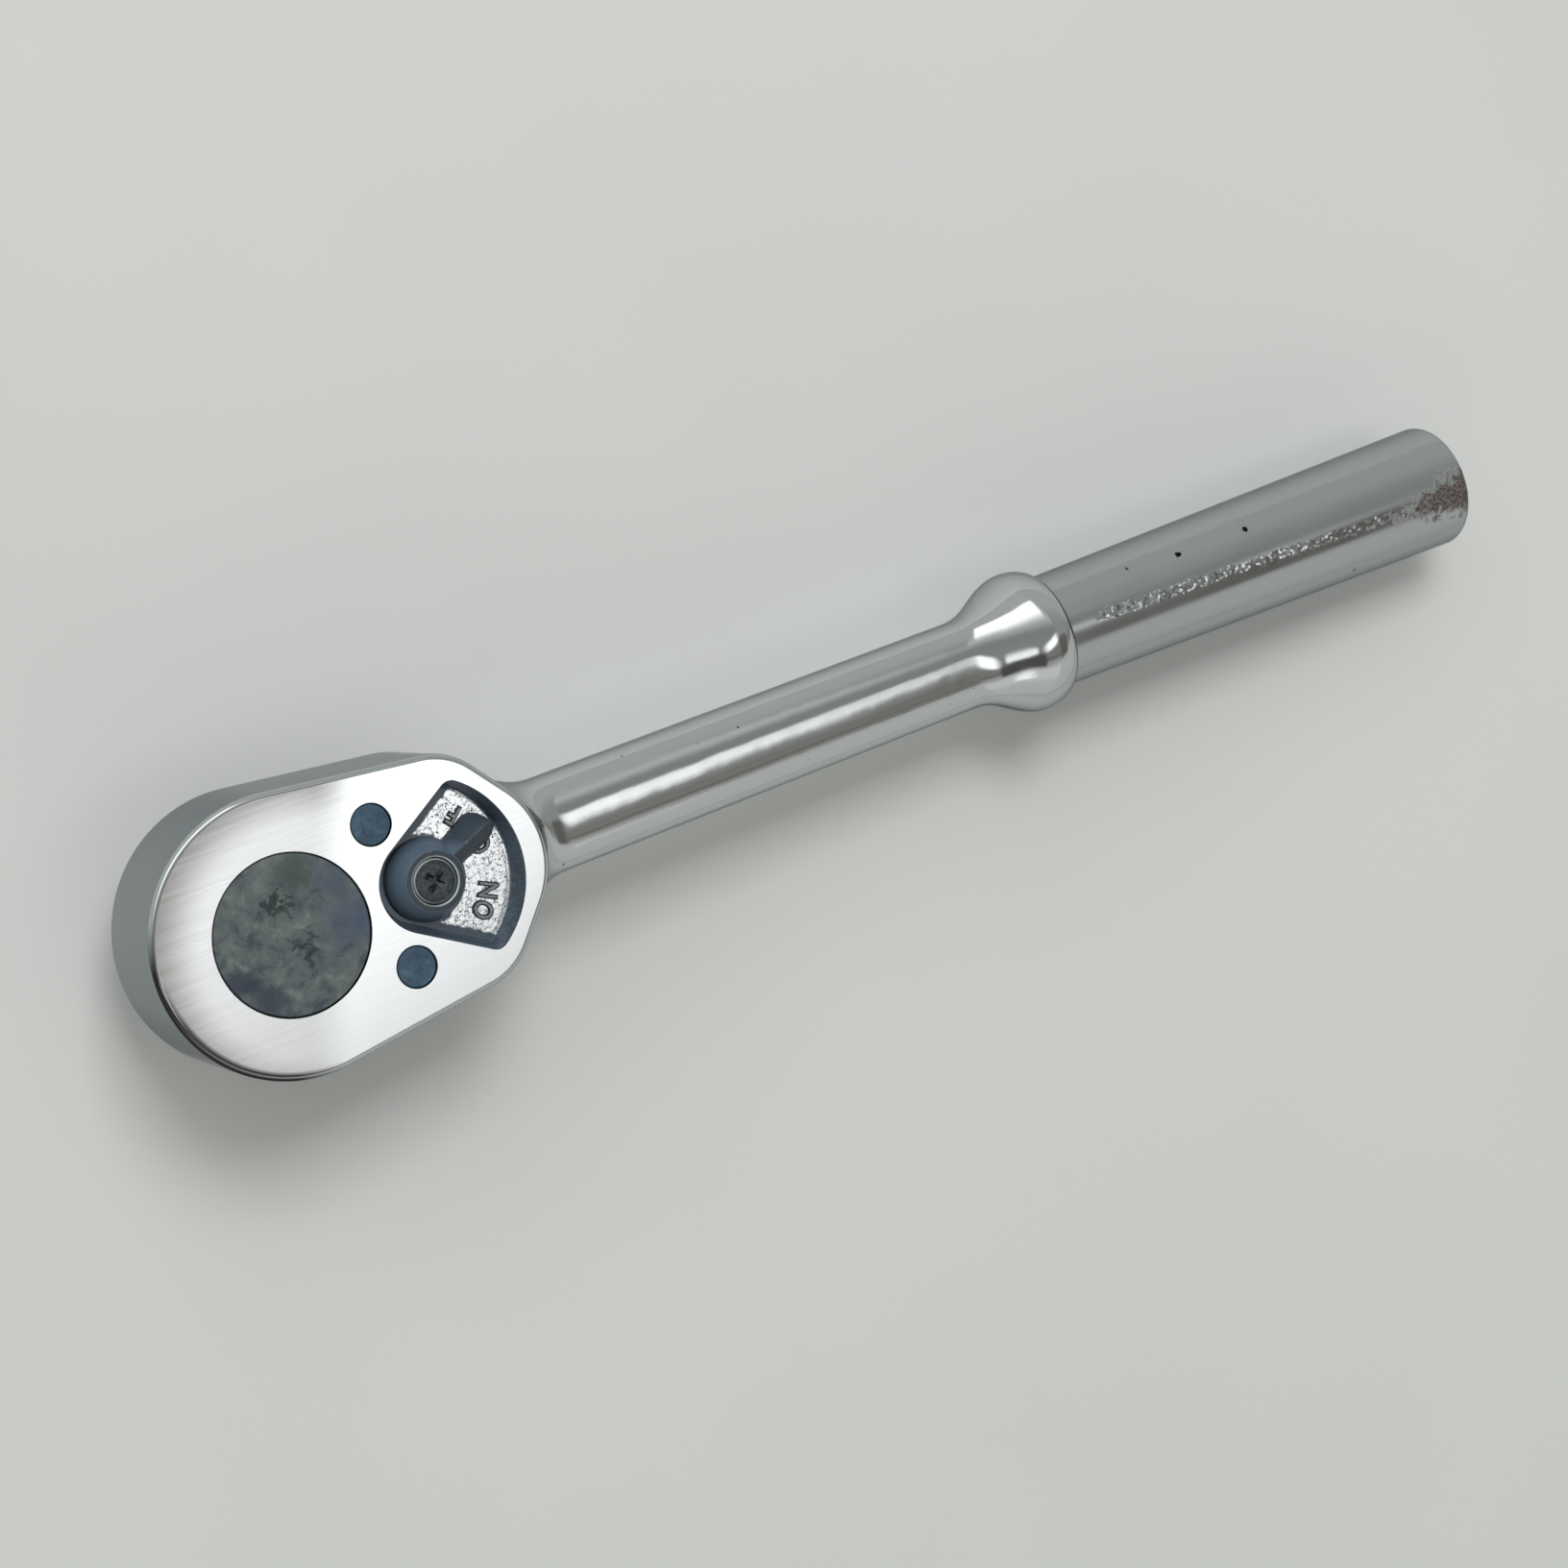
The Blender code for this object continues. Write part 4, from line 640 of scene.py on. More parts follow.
@dataclass(frozen=True)
class BlackOxide(Finish):
    """Black oxide on cast steel: oily black on top, blue grey on its flanks as a painted reflection, with paler edges
    that are partly worn and partly a painted highlight.
    """

    grit: float = 0.5
    # Paler edges: partly worn, partly a painted highlight
    rub_and_highlight_colour: str = "#6E767B"
    # Blue grey of the flanks near the hub: a painted reflection
    flank_reflection_colour: str = "#67798A"

    def lay(self, tree: bpy.types.NodeTree, shader: bpy.types.Node, grain: bpy.types.NodeSocket) -> None:
        """Edges are found by their sharpness and paled, partly as wear and partly as a painted highlight, and a fine
        grit breaks the shine.
        """
        grit = add_node(tree, "ShaderNodeTexNoise", {"Vector": grain, "Scale": 1 / self.grit, "Detail": 4.0})
        shape = add_node(tree, "ShaderNodeNewGeometry")
        # Paler edges and ridges, partly worn and partly a painted highlight
        edges = add_node(tree, "ShaderNodeMapRange", {
            "Value": shape.outputs["Pointiness"], "From Min": 0.515, "From Max": 0.56, "To Max": 0.9})
        rub_and_highlight = add_node(tree, "ShaderNodeMath", {0: edges.outputs["Result"], 1: grit.outputs["Fac"]},
                       operation="MULTIPLY")
        # Painted reflection: steep flanks near the hub turn blue grey
        coords = add_node(tree, "ShaderNodeTexCoord")
        way = add_node(tree, "ShaderNodeSeparateXYZ", {0: coords.outputs["Normal"]})
        steep = add_node(tree, "ShaderNodeMapRange", {
            "Value": way.outputs["Z"], "From Min": 0.9, "From Max": 0.45})
        reach = add_node(tree, "ShaderNodeVectorMath", {
            0: grain, 1: (LEVER_X, 0.0, LEVER_TOP_Z)}, operation="DISTANCE")
        hub = add_node(tree, "ShaderNodeMapRange", {
            "Value": reach.outputs["Value"], "From Min": 8.2, "From Max": 6.4, "To Min": 0.25})
        painted_flank_reflection = add_node(tree, "ShaderNodeMath", {0: steep.outputs["Result"], 1: hub.outputs["Result"]},
                         operation="MULTIPLY")
        flank_reflected = add_node(tree, "ShaderNodeMix", {
            MIX_SHARE: painted_flank_reflection.outputs[0], MIX_FIRST: linear(self.colour),
            MIX_SECOND: linear(self.flank_reflection_colour)}, data_type="RGBA")
        paint = add_node(tree, "ShaderNodeMix", {
            MIX_SHARE: rub_and_highlight.outputs[0], MIX_FIRST: flank_reflected.outputs[MIX_COLOUR], MIX_SECOND: linear(self.rub_and_highlight_colour)},
            data_type="RGBA")
        tree.links.new(paint.outputs[MIX_COLOUR], shader.inputs["Base Color"])
        rough = add_node(tree, "ShaderNodeMapRange", {
            "Value": grit.outputs["Fac"], "From Min": 0.3, "From Max": 0.7,
            "To Min": self.roughness - 0.07, "To Max": self.roughness + 0.08})
        tree.links.new(rough.outputs["Result"], shader.inputs["Roughness"])
        bump = add_node(tree, "ShaderNodeBump", {"Height": grit.outputs["Fac"], "Distance": 0.03 * MM})
        tree.links.new(bump.outputs["Normal"], shader.inputs["Normal"])


@dataclass(frozen=True)
class GroundSteel(Finish):
    """Ground and oiled tool steel: bright grey with fine lines along the wheel's path."""

    line_width: float = 0.25
    line_length: float = 9.0
    oil_colour: str = "#6F706B"

    def lay(self, tree: bpy.types.NodeTree, shader: bpy.types.Node, grain: bpy.types.NodeSocket) -> None:
        """Lines run along X, and oil browns the surface in patches."""
        stretch = add_node(tree, "ShaderNodeMapping", {
            "Vector": grain, "Scale": (1 / self.line_length, 1 / self.line_width, 1 / self.line_width)})
        lines = add_node(tree, "ShaderNodeTexNoise", {
            "Vector": stretch.outputs["Vector"], "Scale": 1.0, "Detail": 3.0})
        oil = add_node(tree, "ShaderNodeTexNoise", {"Vector": grain, "Scale": 1 / 4.0, "Detail": 4.0})
        tones = add_node(tree, "ShaderNodeValToRGB", {0: oil.outputs["Fac"]}, stops=(
            (0.42, self.colour), (0.72, self.oil_colour)))
        tree.links.new(tones.outputs["Color"], shader.inputs["Base Color"])
        rough = add_node(tree, "ShaderNodeMapRange", {
            "Value": lines.outputs["Fac"], "From Min": 0.3, "From Max": 0.7,
            "To Min": self.roughness - 0.06, "To Max": self.roughness + 0.08})
        tree.links.new(rough.outputs["Result"], shader.inputs["Roughness"])
        bump = add_node(tree, "ShaderNodeBump", {"Height": lines.outputs["Fac"], "Distance": 0.01 * MM})
        tree.links.new(bump.outputs["Normal"], shader.inputs["Normal"])


@dataclass(frozen=True)
class PaleBoard(Finish):
    """Matt painted board under the tool: pale grey with the faintest grain."""

    def lay(self, tree: bpy.types.NodeTree, shader: bpy.types.Node, grain: bpy.types.NodeSocket) -> None:
        """A slow change of tone keeps the board from looking drawn."""
        tone = add_node(tree, "ShaderNodeTexNoise", {"Vector": grain, "Scale": 1 / 160.0, "Detail": 3.0})
        tones = add_node(tree, "ShaderNodeValToRGB", {0: tone.outputs["Fac"]}, stops=(
            (0.3, "#C5C7C4"), (0.7, self.colour)))
        tree.links.new(tones.outputs["Color"], shader.inputs["Base Color"])


# Real chrome mirrors less than a perfect metal where it turns away from the eye
CHROME_EDGE = "#B4B8BB"
POLISHED_CHROME = PolishedPlate("chrome_plate_polished", "#CACECD", 1.0, 0.06, CHROME_EDGE)
SATIN_CHROME = DarkEndFace("chrome_plate_linished", "#EDF0F1", 1.0, 0.17)
GRIP_CHROME = WornGripPlate("chrome_plate_worn_grip", "#B9BDBD", 1.0, 0.17, CHROME_EDGE)
COVER_CHROME = SatinPlate("chrome_plate_ground_cover", "#C9CBCB", 1.0, 0.24)
RECESS_WALL = RecessPaint("blue_black_oxide_cast", "#485663", 0.25, 0.42, worn_colour="#667480")
RECESS_SILVER = RecessFloor("chrome_plate_cast_pebbled", "#E2E5E6", 1.0, 0.16)
# Letter sides: black enamel, and partly painted shade along the letters' edges
LETTER_ENAMEL_AND_SHADE = RecessPaint("black_enamel_and_shade_lettering", "#1E2428", 0.0, 0.5, worn_colour="#343B40")
LETTER_TOP = RecessPaint("cast_plate_rubbed_letter", "#7C8284", 0.7, 0.35, depth=0.02, worn_colour="#A6ABAC")
DRIVE_STEEL = BluedSteel(
    "alloy_steel_blued_drive", "#596263", 0.35, 0.50, scuffs=((-1.8, 6.0, 37.2, 4.2), (2.0, -2.4, 37.2, 3.6)),
    stains=((-10.0, -4.2, 37.2, 3.0, "#363D4A"), (-6.2, -8.4, 37.2, 2.8, "#3A414D"),
            (10.0, -1.5, 37.2, 4.2, "#4D5868"), (8.5, 6.0, 37.2, 3.2, "#505B66"), (3.5, 9.0, 37.2, 3.0, "#48524F")))
PIN_STEEL = BluedSteel("alloy_steel_blued_pin", "#3E5264", 0.35, 0.42, mottle=2.0, indigo="#33465A",
                       green="#40596A", pale="#4F6A80", mark=1.4)
LEVER_BLACK = BlackOxide("cast_steel_black_oxide", "#3B444B", 0.35, 0.38)
SCREW_BLACK = RecessPaint("screw_steel_black_oxide", "#363D41", 0.6, 0.34, cast=0.4, depth=0.012,
                          worn_colour="#555C60")
# Bright steel for rings on the lever and its screw: partly rubbed steel, partly a painted highlight
SCREW_RUB_AND_HIGHLIGHT = GroundSteel("screw_steel_rubbed_and_highlight", "#B9BDBF", 0.35, 0.34, line_width=0.4, line_length=0.4,
                        oil_colour="#8B9092")
BRIGHT_STEEL = GroundSteel("spring_steel_bright", "#B9BCBD", 1.0, 0.26)
PAWL_STEEL = GroundSteel("tool_steel_ground_oiled", "#8E9090", 1.0, 0.34)
PALE_BOARD = PaleBoard("board_painted_pale", "#CACCC9", 0.0, 0.6)


def clear_selection() -> None:
    """Leaves nothing selected, so that the next operator takes only its own piece."""
    bpy.ops.object.select_all(action="DESELECT")


@contextmanager
def edit(piece: bpy.types.Object) -> Iterator[None]:
    """Opens a piece in edit mode, and leaves it with its faces pointing out.

    Args:
        piece: The piece to open.
    """
    clear_selection()
    bpy.context.view_layer.objects.active = piece
    piece.select_set(True)
    bpy.ops.object.mode_set(mode="EDIT")
    yield
    bpy.ops.mesh.select_all(action="SELECT")
    bpy.ops.mesh.normals_make_consistent(inside=False)
    bpy.ops.object.mode_set(mode="OBJECT")


def new_piece(name: str) -> bpy.types.Object:
    """Names the primitive that was just added, and returns it."""
    piece = bpy.context.object
    piece.name = name
    piece.data.name = name
    return piece


def turn_on_lathe(name: str, profile: Profile, segments: int = FINE_TURN) -> bpy.types.Object:
    """Spins a profile about Z; a profile that starts and ends on the axis gives a closed solid.

    Args:
        name: The piece's name.
        profile: Radius and height of each point.
        segments: Steps in a full turn.

    Returns:
        The turned piece.
    """
    clear_selection()
    bpy.ops.mesh.primitive_plane_add(size=MM)
    piece = new_piece(name)
    with edit(piece):
        bpy.ops.mesh.select_all(action="SELECT")
        bpy.ops.mesh.merge(type="CENTER")
        radius, height = profile[0]
        bpy.ops.transform.translate(value=(radius * MM, 0, height * MM))
        for next_radius, next_height in profile[1:]:
            step = ((next_radius - radius) * MM, 0, (next_height - height) * MM)
            bpy.ops.mesh.extrude_vertices_move(TRANSFORM_OT_translate={"value": step})
            radius, height = next_radius, next_height
        bpy.ops.mesh.select_all(action="SELECT")
        bpy.ops.mesh.spin(steps=segments, angle=2 * math.pi, center=(0, 0, 0), axis=(0, 0, 1))
        bpy.ops.mesh.select_all(action="SELECT")
        bpy.ops.mesh.remove_doubles(threshold=1e-4 * MM)
    return piece


def raise_rings(name: str, rings: Sequence[Sequence[Vector]]) -> bpy.types.Object:
    """Raises a closed solid ring by ring, each extruded from the last and set on its outline.

    Args:
        name: The piece's name.
        rings: Outlines with equal numbers of points, from the first cap to the last.

    Returns:
        The raised piece.
    """
    clear_selection()
    bpy.ops.mesh.primitive_circle_add(vertices=len(rings[0]), radius=MM, fill_type="NGON")
    piece = new_piece(name)
    for vertex, point in zip(piece.data.vertices, rings[0]):
        vertex.co = point * MM
    with edit(piece):
        bpy.ops.mesh.select_all(action="SELECT")
        for old, new in zip(rings, rings[1:]):
            bpy.ops.mesh.extrude_region_move()
            nearest = KDTree(len(old))
            for index, point in enumerate(old):
                nearest.insert(point * MM, index)
            nearest.balance()
            mesh = bmesh.from_edit_mesh(piece.data)
            for vertex in mesh.verts:
                if vertex.select:
                    vertex.co = new[nearest.find(vertex.co)[1]] * MM
            bmesh.update_edit_mesh(piece.data)
    return piece


def join(piece: bpy.types.Object, tool: bpy.types.Object, joining: Joining) -> None:
    """Adds a shape to a piece or cuts it out, and removes the shape.

    Args:
        piece: The piece that changes.
        tool: The shape that is used up.
        joining: Whether to add or cut.
    """
    clear_selection()
    bpy.context.view_layer.objects.active = piece
    bpy.ops.object.modifier_add(type="BOOLEAN")
    modifier = piece.modifiers[-1]
    modifier.object = tool
    modifier.operation = joining.value
    modifier.solver = "EXACT"
    bpy.ops.object.modifier_apply(modifier=modifier.name)
    bpy.data.objects.remove(tool, do_unlink=True)


def set_down(piece: bpy.types.Object, place: Sequence[float], rotation: Sequence[float] = (0, 0, 0)
             ) -> bpy.types.Object:
    """Turns and moves a piece, and puts that into its mesh.

    Args:
        piece: The piece to place.
        place: Where its origin goes, in millimetres.
        rotation: Its turn about X, Y and Z.

    Returns:
        The same piece, at the origin and unturned.
    """
    clear_selection()
    bpy.context.view_layer.objects.active = piece
    piece.select_set(True)
    piece.rotation_euler = rotation
    piece.location = Vector(place) * MM
    bpy.ops.object.transform_apply(location=True, rotation=True, scale=True)
    return piece


def shade(piece: bpy.types.Object, angle: float = 32.0) -> None:
    """Shades a piece smooth up to an angle, with its large faces kept flat.

    Args:
        piece: The piece to shade.
        angle: Degrees above which an edge stays sharp.
    """
    clear_selection()
    bpy.context.view_layer.objects.active = piece
    piece.select_set(True)
    bpy.ops.object.shade_smooth_by_angle(angle=math.radians(angle))
    bpy.ops.object.modifier_add(type="WEIGHTED_NORMAL")
    piece.modifiers[-1].keep_sharp = True
    bpy.ops.object.modifier_apply(modifier=piece.modifiers[-1].name)


def hand_over(piece: bpy.types.Object, body: str, slot: str, *nodes: str) -> None:
    """Lets a finished piece ride on a body in place of CAD nodes, and reports it."""
    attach(piece, body)
    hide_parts(*nodes)
    LOG.info("%s rides on %s for %s, %d faces", piece.name, body, ", ".join(nodes), len(piece.data.polygons))


def paint(piece: bpy.types.Object, finish: Finish) -> None:
    """Gives a piece one finish all over."""
    piece.data.materials.clear()
    piece.data.materials.append(finish.material())


def quarter(steps: int) -> list[float]:
    """Angles from zero to a right angle."""
    return [math.pi / 2 * k / steps for k in range(steps + 1)]


def band(circles: Sequence[Circle], z: float, grow: float = 0.0, count: int = 360) -> list[Vector]:
    """Outline of a band stretched round circles, one point for each direction.

    Args:
        circles: Centre and radius of each circle.
        z: The outline's height.
        grow: How far the outline is moved outward.
        count: Number of directions.

    Returns:
        The outline's points.
    """
    points = []
    for step in range(count):
        angle = 2 * math.pi * step / count
        way = Vector((math.cos(angle), math.sin(angle), 0.0))
        x, y, radius = max(circles, key=lambda circle: circle[0] * way.x + circle[1] * way.y + circle[2])
        points.append(Vector((x, y, z)) + (radius + grow) * way)
    return points


def lip(width: float, top: float) -> Profile:
    """Growth and height of a rounded mouth that opens through a flat top.

    Args:
        width: Radius of the round.
        top: Height of the flat.

    Returns:
        Pairs of growth and height, the last above the flat.
    """
    steps = [angle for angle in quarter(6) if angle < math.radians(70)]
    points = [(width * (1 - math.cos(angle)), top - width + width * math.sin(angle)) for angle in steps]
    (grow, low), (wide, high) = points[-2:]
    rise = top + 0.5 * width - high
    return points + [(wide + rise * (wide - grow) / (high - low), high + rise)]


def hole(name: str, radius: float, bottom: float, top: float, rim: float = 0.0) -> bpy.types.Object:
    """Round cutter about Z, with a rounded mouth at its top where a rim is given.

    Args:
        name: The cutter's name.
        radius: Radius of the hole.
        bottom: Height of its lower end.
        top: Height of the flat that it opens through, or of its upper end.
        rim: Radius of the mouth's round.

    Returns:
        The cutter.
    """
    mouth = [(radius + grow, z) for grow, z in lip(rim, top)] if rim else [(radius, top)]
    profile = [(0.0, bottom), (radius, bottom), *mouth, (0.0, mouth[-1][1])]
    return turn_on_lathe(name, profile, 128)


def smooth_step(value: float) -> float:
    """Eases a share between nought and one."""
    share = min(max(value, 0.0), 1.0)
    return share * share * (3 - 2 * share)


CAVITY: list[Circle] = [
    (0.0, 0.0, 16.2), (PIN_X, -PIN_Y, 5.2), (TAIL_X, -TAIL_Y, 2.8),
    (LEVER_X, 0.0, 10.134), (TAIL_X, TAIL_Y, 2.8), (PIN_X, PIN_Y, 5.2),
]
COVER_EDGE: list[Circle] = [(x, y, radius + 1.5) for x, y, radius in CAVITY] + [
    (COVER_SCREW_X, side.value * COVER_SCREW_Y, 3.7) for side in Side
]


@dataclass
class Forging:
    """Forged and plated body: head, neck, shank, collar and grip in one piece."""

    head_radius: float = 22.2
    shoulder: Circle = (26.5, 7.2, 11.9)
    tip_x: float = 43.5
    tip_radius: float = 14.9
    edge_round: float = 1.0
    bore_radius: float = 12.6
    pin_hole_radius: float = 3.32
    mouth_round: float = 0.14
    recess_lobe: float = 7.7
    recess_reach: float = 16.4
    recess_corner: float = 2.2
    recess_half_angle: float = math.radians(54.4)
    recess_draft: float = 0.7
    recess_fillet: float = 0.6
    neck_round: float = 6.0
    neck_length: float = 7.0
    neck_steps: int = 28
    shank_half_width: float = 7.9
    shank_end_half_width: float = 7.6
    shank_half_height: float = 6.3
    shank_power: float = 2.4
    shank_end: float = 127.5
    collar_x: float = 141.0
    collar_radius: float = 12.2
    flare_power: float = 1.3
    grip_x: float = 145.5
    grip_radius: float = 9.75
    end_x: float = 232.0
    end_radius: float = 10.95
    end_round: float = 1.6
    segments: int = 224
    shank_steps: int = 60
    flare_steps: int = 48

    def build(self) -> bpy.types.Object:
        """Builds the forging and hands it over in place of the CAD body."""
        body = self.head()
        self.machine(body)
        join(body, self.handle(), Joining.ADD)
        detent = hole("detent_hole", 1.6, LEVER_X, 42.7)
        join(body, set_down(detent, (0, 0, PAWL_MID_Z), (0, math.radians(90), 0)), Joining.CUT)
        self.dress(body)
        hand_over(body, "handle", "chrome_body", "handle_body")
        return body

    def head(self) -> bpy.types.Object:
        """Raises the pear shaped head with its rounded edges."""
        x, y, radius = self.shoulder
        outline = [(0.0, 0.0, self.head_radius), (x, -y, radius),
                   (self.tip_x - self.tip_radius, 0.0, self.tip_radius), (x, y, radius)]
        edge = [(-self.edge_round * (1 - math.sin(angle)), self.edge_round * (1 - math.cos(angle)))
                for angle in quarter(8)]
        rings = [band(outline, BACK_Z + rise, grow) for grow, rise in edge]
        rings += [band(outline, FACE_Z - rise, grow) for grow, rise in reversed(edge)]
        return raise_rings("forged_body", rings)

    def machine(self, body: bpy.types.Object) -> None:
        """Cuts the seat, cavity, bores and recess into the head."""
        seat = [band(COVER_EDGE, z) for z in (BACK_Z - 1, COVER_TOP_Z + SEAT_GAP)]
        join(body, raise_rings("cover_seat", seat), Joining.CUT)
        cavity = [band(CAVITY, z) for z in (COVER_TOP_Z, CEILING_Z)]
        join(body, raise_rings("cavity", cavity), Joining.CUT)
        low = CEILING_Z - 1
        join(body, hole("back_bore", self.bore_radius, low, FACE_Z, self.mouth_round), Joining.CUT)
        join(body, self.recess(), Joining.CUT)
        cam_hole = hole("cam_hole", 3.3, low, RECESS_FLOOR_Z + 1)
        join(body, set_down(cam_hole, (LEVER_X, 0, 0)), Joining.CUT)
        for side in Side:
            pin_hole = hole("pin_hole", self.pin_hole_radius, low, FACE_Z, self.mouth_round)
            join(body, set_down(pin_hole, (PIN_X, side.value * PIN_Y, 0)), Joining.CUT)
            pocket = hole("spring_pocket", 2.0, TAIL_Y, 17.734)
            turn = (math.radians(-90 * side.value), 0, 0)
            join(body, set_down(pocket, (TAIL_X, 0, PAWL_MID_Z), turn), Joining.CUT)
            thread = hole("cover_screw_hole", 1.8, BACK_Z, 25.8)
            join(body, set_down(thread, (COVER_SCREW_X, side.value * COVER_SCREW_Y, 0)), Joining.CUT)

    def recess(self) -> bpy.types.Object:
        """Raises the fan shaped cutter of the lever recess, with a round floor edge and mouth."""
        arc = self.recess_reach - self.recess_corner
        circles = [(RECESS_X, 0.0, self.recess_lobe)]
        for step in range(-24, 25):
            angle = self.recess_half_angle * step / 24
            circles.append((RECESS_X + arc * math.cos(angle), arc * math.sin(angle), self.recess_corner))
        rings = []
        for angle in quarter(5):
            grow = -self.recess_draft - self.recess_fillet * (1 - math.sin(angle))
            rings.append(band(circles, RECESS_FLOOR_Z + self.recess_fillet * (1 - math.cos(angle)), grow))
        rings += [band(circles, z, grow) for grow, z in lip(self.mouth_round, FACE_Z)]
        return raise_rings("recess", rings)

    def stations(self) -> list[tuple[float, float, float, float]]:
        """Sections along the handle: place, half width, half height and roundness power."""
        wide, high, power = self.shank_half_width, self.shank_half_height, self.shank_power
        end_wide = self.shank_end_half_width
        rise = min(self.neck_round, HANDLE_Z - BACK_Z - self.edge_round - high - 0.3)
        sections = []
        for step in range(self.neck_steps + 1):
            share = (step / self.neck_steps) ** 1.4
            flare = 0.92 * (1 - share) ** 3
            x = self.tip_x - 0.1 + self.neck_length * share
            sections.append((x, wide + self.neck_round * flare, high + rise * flare, power))
        first = sections[0]
        start = sections[-1][0]
        sections.insert(0, (first[0] - 3.0, first[1] + 0.2, first[2] + 0.2, power))
        for step in range(1, self.shank_steps):
            share = step / self.shank_steps
            sections.append((start + (self.shank_end - start) * share, wide + (end_wide - wide) * share, high, power))
        for step in range(self.flare_steps + 1):
            share = (0.5 - 0.5 * math.cos(math.pi * step / self.flare_steps)) ** self.flare_power
            x = self.shank_end + (self.collar_x - self.shank_end) * step / self.flare_steps
            sections.append((x, end_wide + (self.collar_radius - end_wide) * share,
                             high + (self.collar_radius - high) * share, power + (2 - power) * share))
        for angle in quarter(16)[1:]:
            x = self.collar_x + (self.grip_x - self.collar_x) * math.sin(angle)
            radius = self.grip_radius + (self.collar_radius - self.grip_radius) * math.cos(angle)
            sections.append((x, radius, radius, 2.0))
        for angle in quarter(10):
            x = self.end_x - self.end_round * (1 - math.sin(angle))
            radius = self.end_radius - self.end_round * (1 - math.cos(angle))
            sections.append((x, radius, radius, 2.0))
        return sections

    def handle(self) -> bpy.types.Object:
        """Turns the handle and presses its shank from round to its section."""
        sections = self.stations()
        profile = [(0.0, sections[0][0])] + [(wide, x) for x, wide, high, power in sections]
        profile.append((0.0, sections[-1][0]))
        handle = turn_on_lathe("handle", profile, self.segments)
        set_down(handle, (0, 0, HANDLE_Z), (0, math.radians(90), 0))
        nearest = KDTree(len(sections))
        for index, station in enumerate(sections):
            nearest.insert((station[0], 0, 0), index)
        nearest.balance()
        for vertex in handle.data.vertices:
            x, y, z = vertex.co / MM
            reach = math.hypot(y, z - HANDLE_Z)
            if reach < 0.01:
                continue
            place, wide, high, power = sections[nearest.find((x, 0, 0))[1]]
            sine, cosine = y / reach, (z - HANDLE_Z) / reach
            y = wide * math.copysign(abs(sine) ** (2 / power), sine)
            lift = high * math.copysign(abs(cosine) ** (2 / power), cosine)
            vertex.co = Vector((self.neck_shift(x, y), y, HANDLE_Z + lift)) * MM
        return handle

    def neck_shift(self, x: float, y: float) -> float:
        """Wraps the neck's first sections round the curved tip of the head."""
        wall = math.sqrt(max(self.tip_radius ** 2 - y ** 2, 0.0)) - self.tip_radius
        return x + wall * (1 - smooth_step((x - self.tip_x) / (2 * self.neck_round)))

    def dress(self, body: bpy.types.Object) -> None:
        """Gives each surface of the forging its own finish."""
        finishes = [POLISHED_CHROME, SATIN_CHROME, GRIP_CHROME, RECESS_WALL, RECESS_SILVER]
        body.data.materials.clear()
        for finish in finishes:
            body.data.materials.append(finish.material())
        for face in body.data.polygons:
            face.material_index = finishes.index(self.finish_at(face.center / MM, face.normal))
        shade(body)

    def finish_at(self, place: Vector, normal: Vector) -> Finish:
        """Finish of the surface at a place that looks along a normal."""
        if place.x > self.grip_x - 0.4:
            return GRIP_CHROME
        if place.z > FACE_Z - 0.02 and place.x < self.tip_x:
            return SATIN_CHROME
        from_pivot = math.hypot(place.x - RECESS_X, place.y)
        in_recess = RECESS_FLOOR_Z - 0.1 < place.z < FACE_Z - self.mouth_round and (
            from_pivot < self.recess_reach + 0.4)
        if in_recess and place.x > self.bore_radius + 0.4 and not self.in_pin_hole(place) and (
                self.faces_inward(place, normal)):
            return RECESS_SILVER if normal.z > 0.8 else RECESS_WALL
        return POLISHED_CHROME

    def in_pin_hole(self, place: Vector) -> bool:
        """True on the wall of a pin hole."""
        return math.hypot(place.x - PIN_X, abs(place.y) - PIN_Y) < self.pin_hole_radius + 0.3

    def faces_inward(self, place: Vector, normal: Vector) -> bool:
        """True where a surface looks up or towards the middle of the recess."""
        inward = Vector((RECESS_X + 5.0 - place.x, -place.y, 0.0))
        return normal.z > 0.8 or inward.dot(normal) > 0


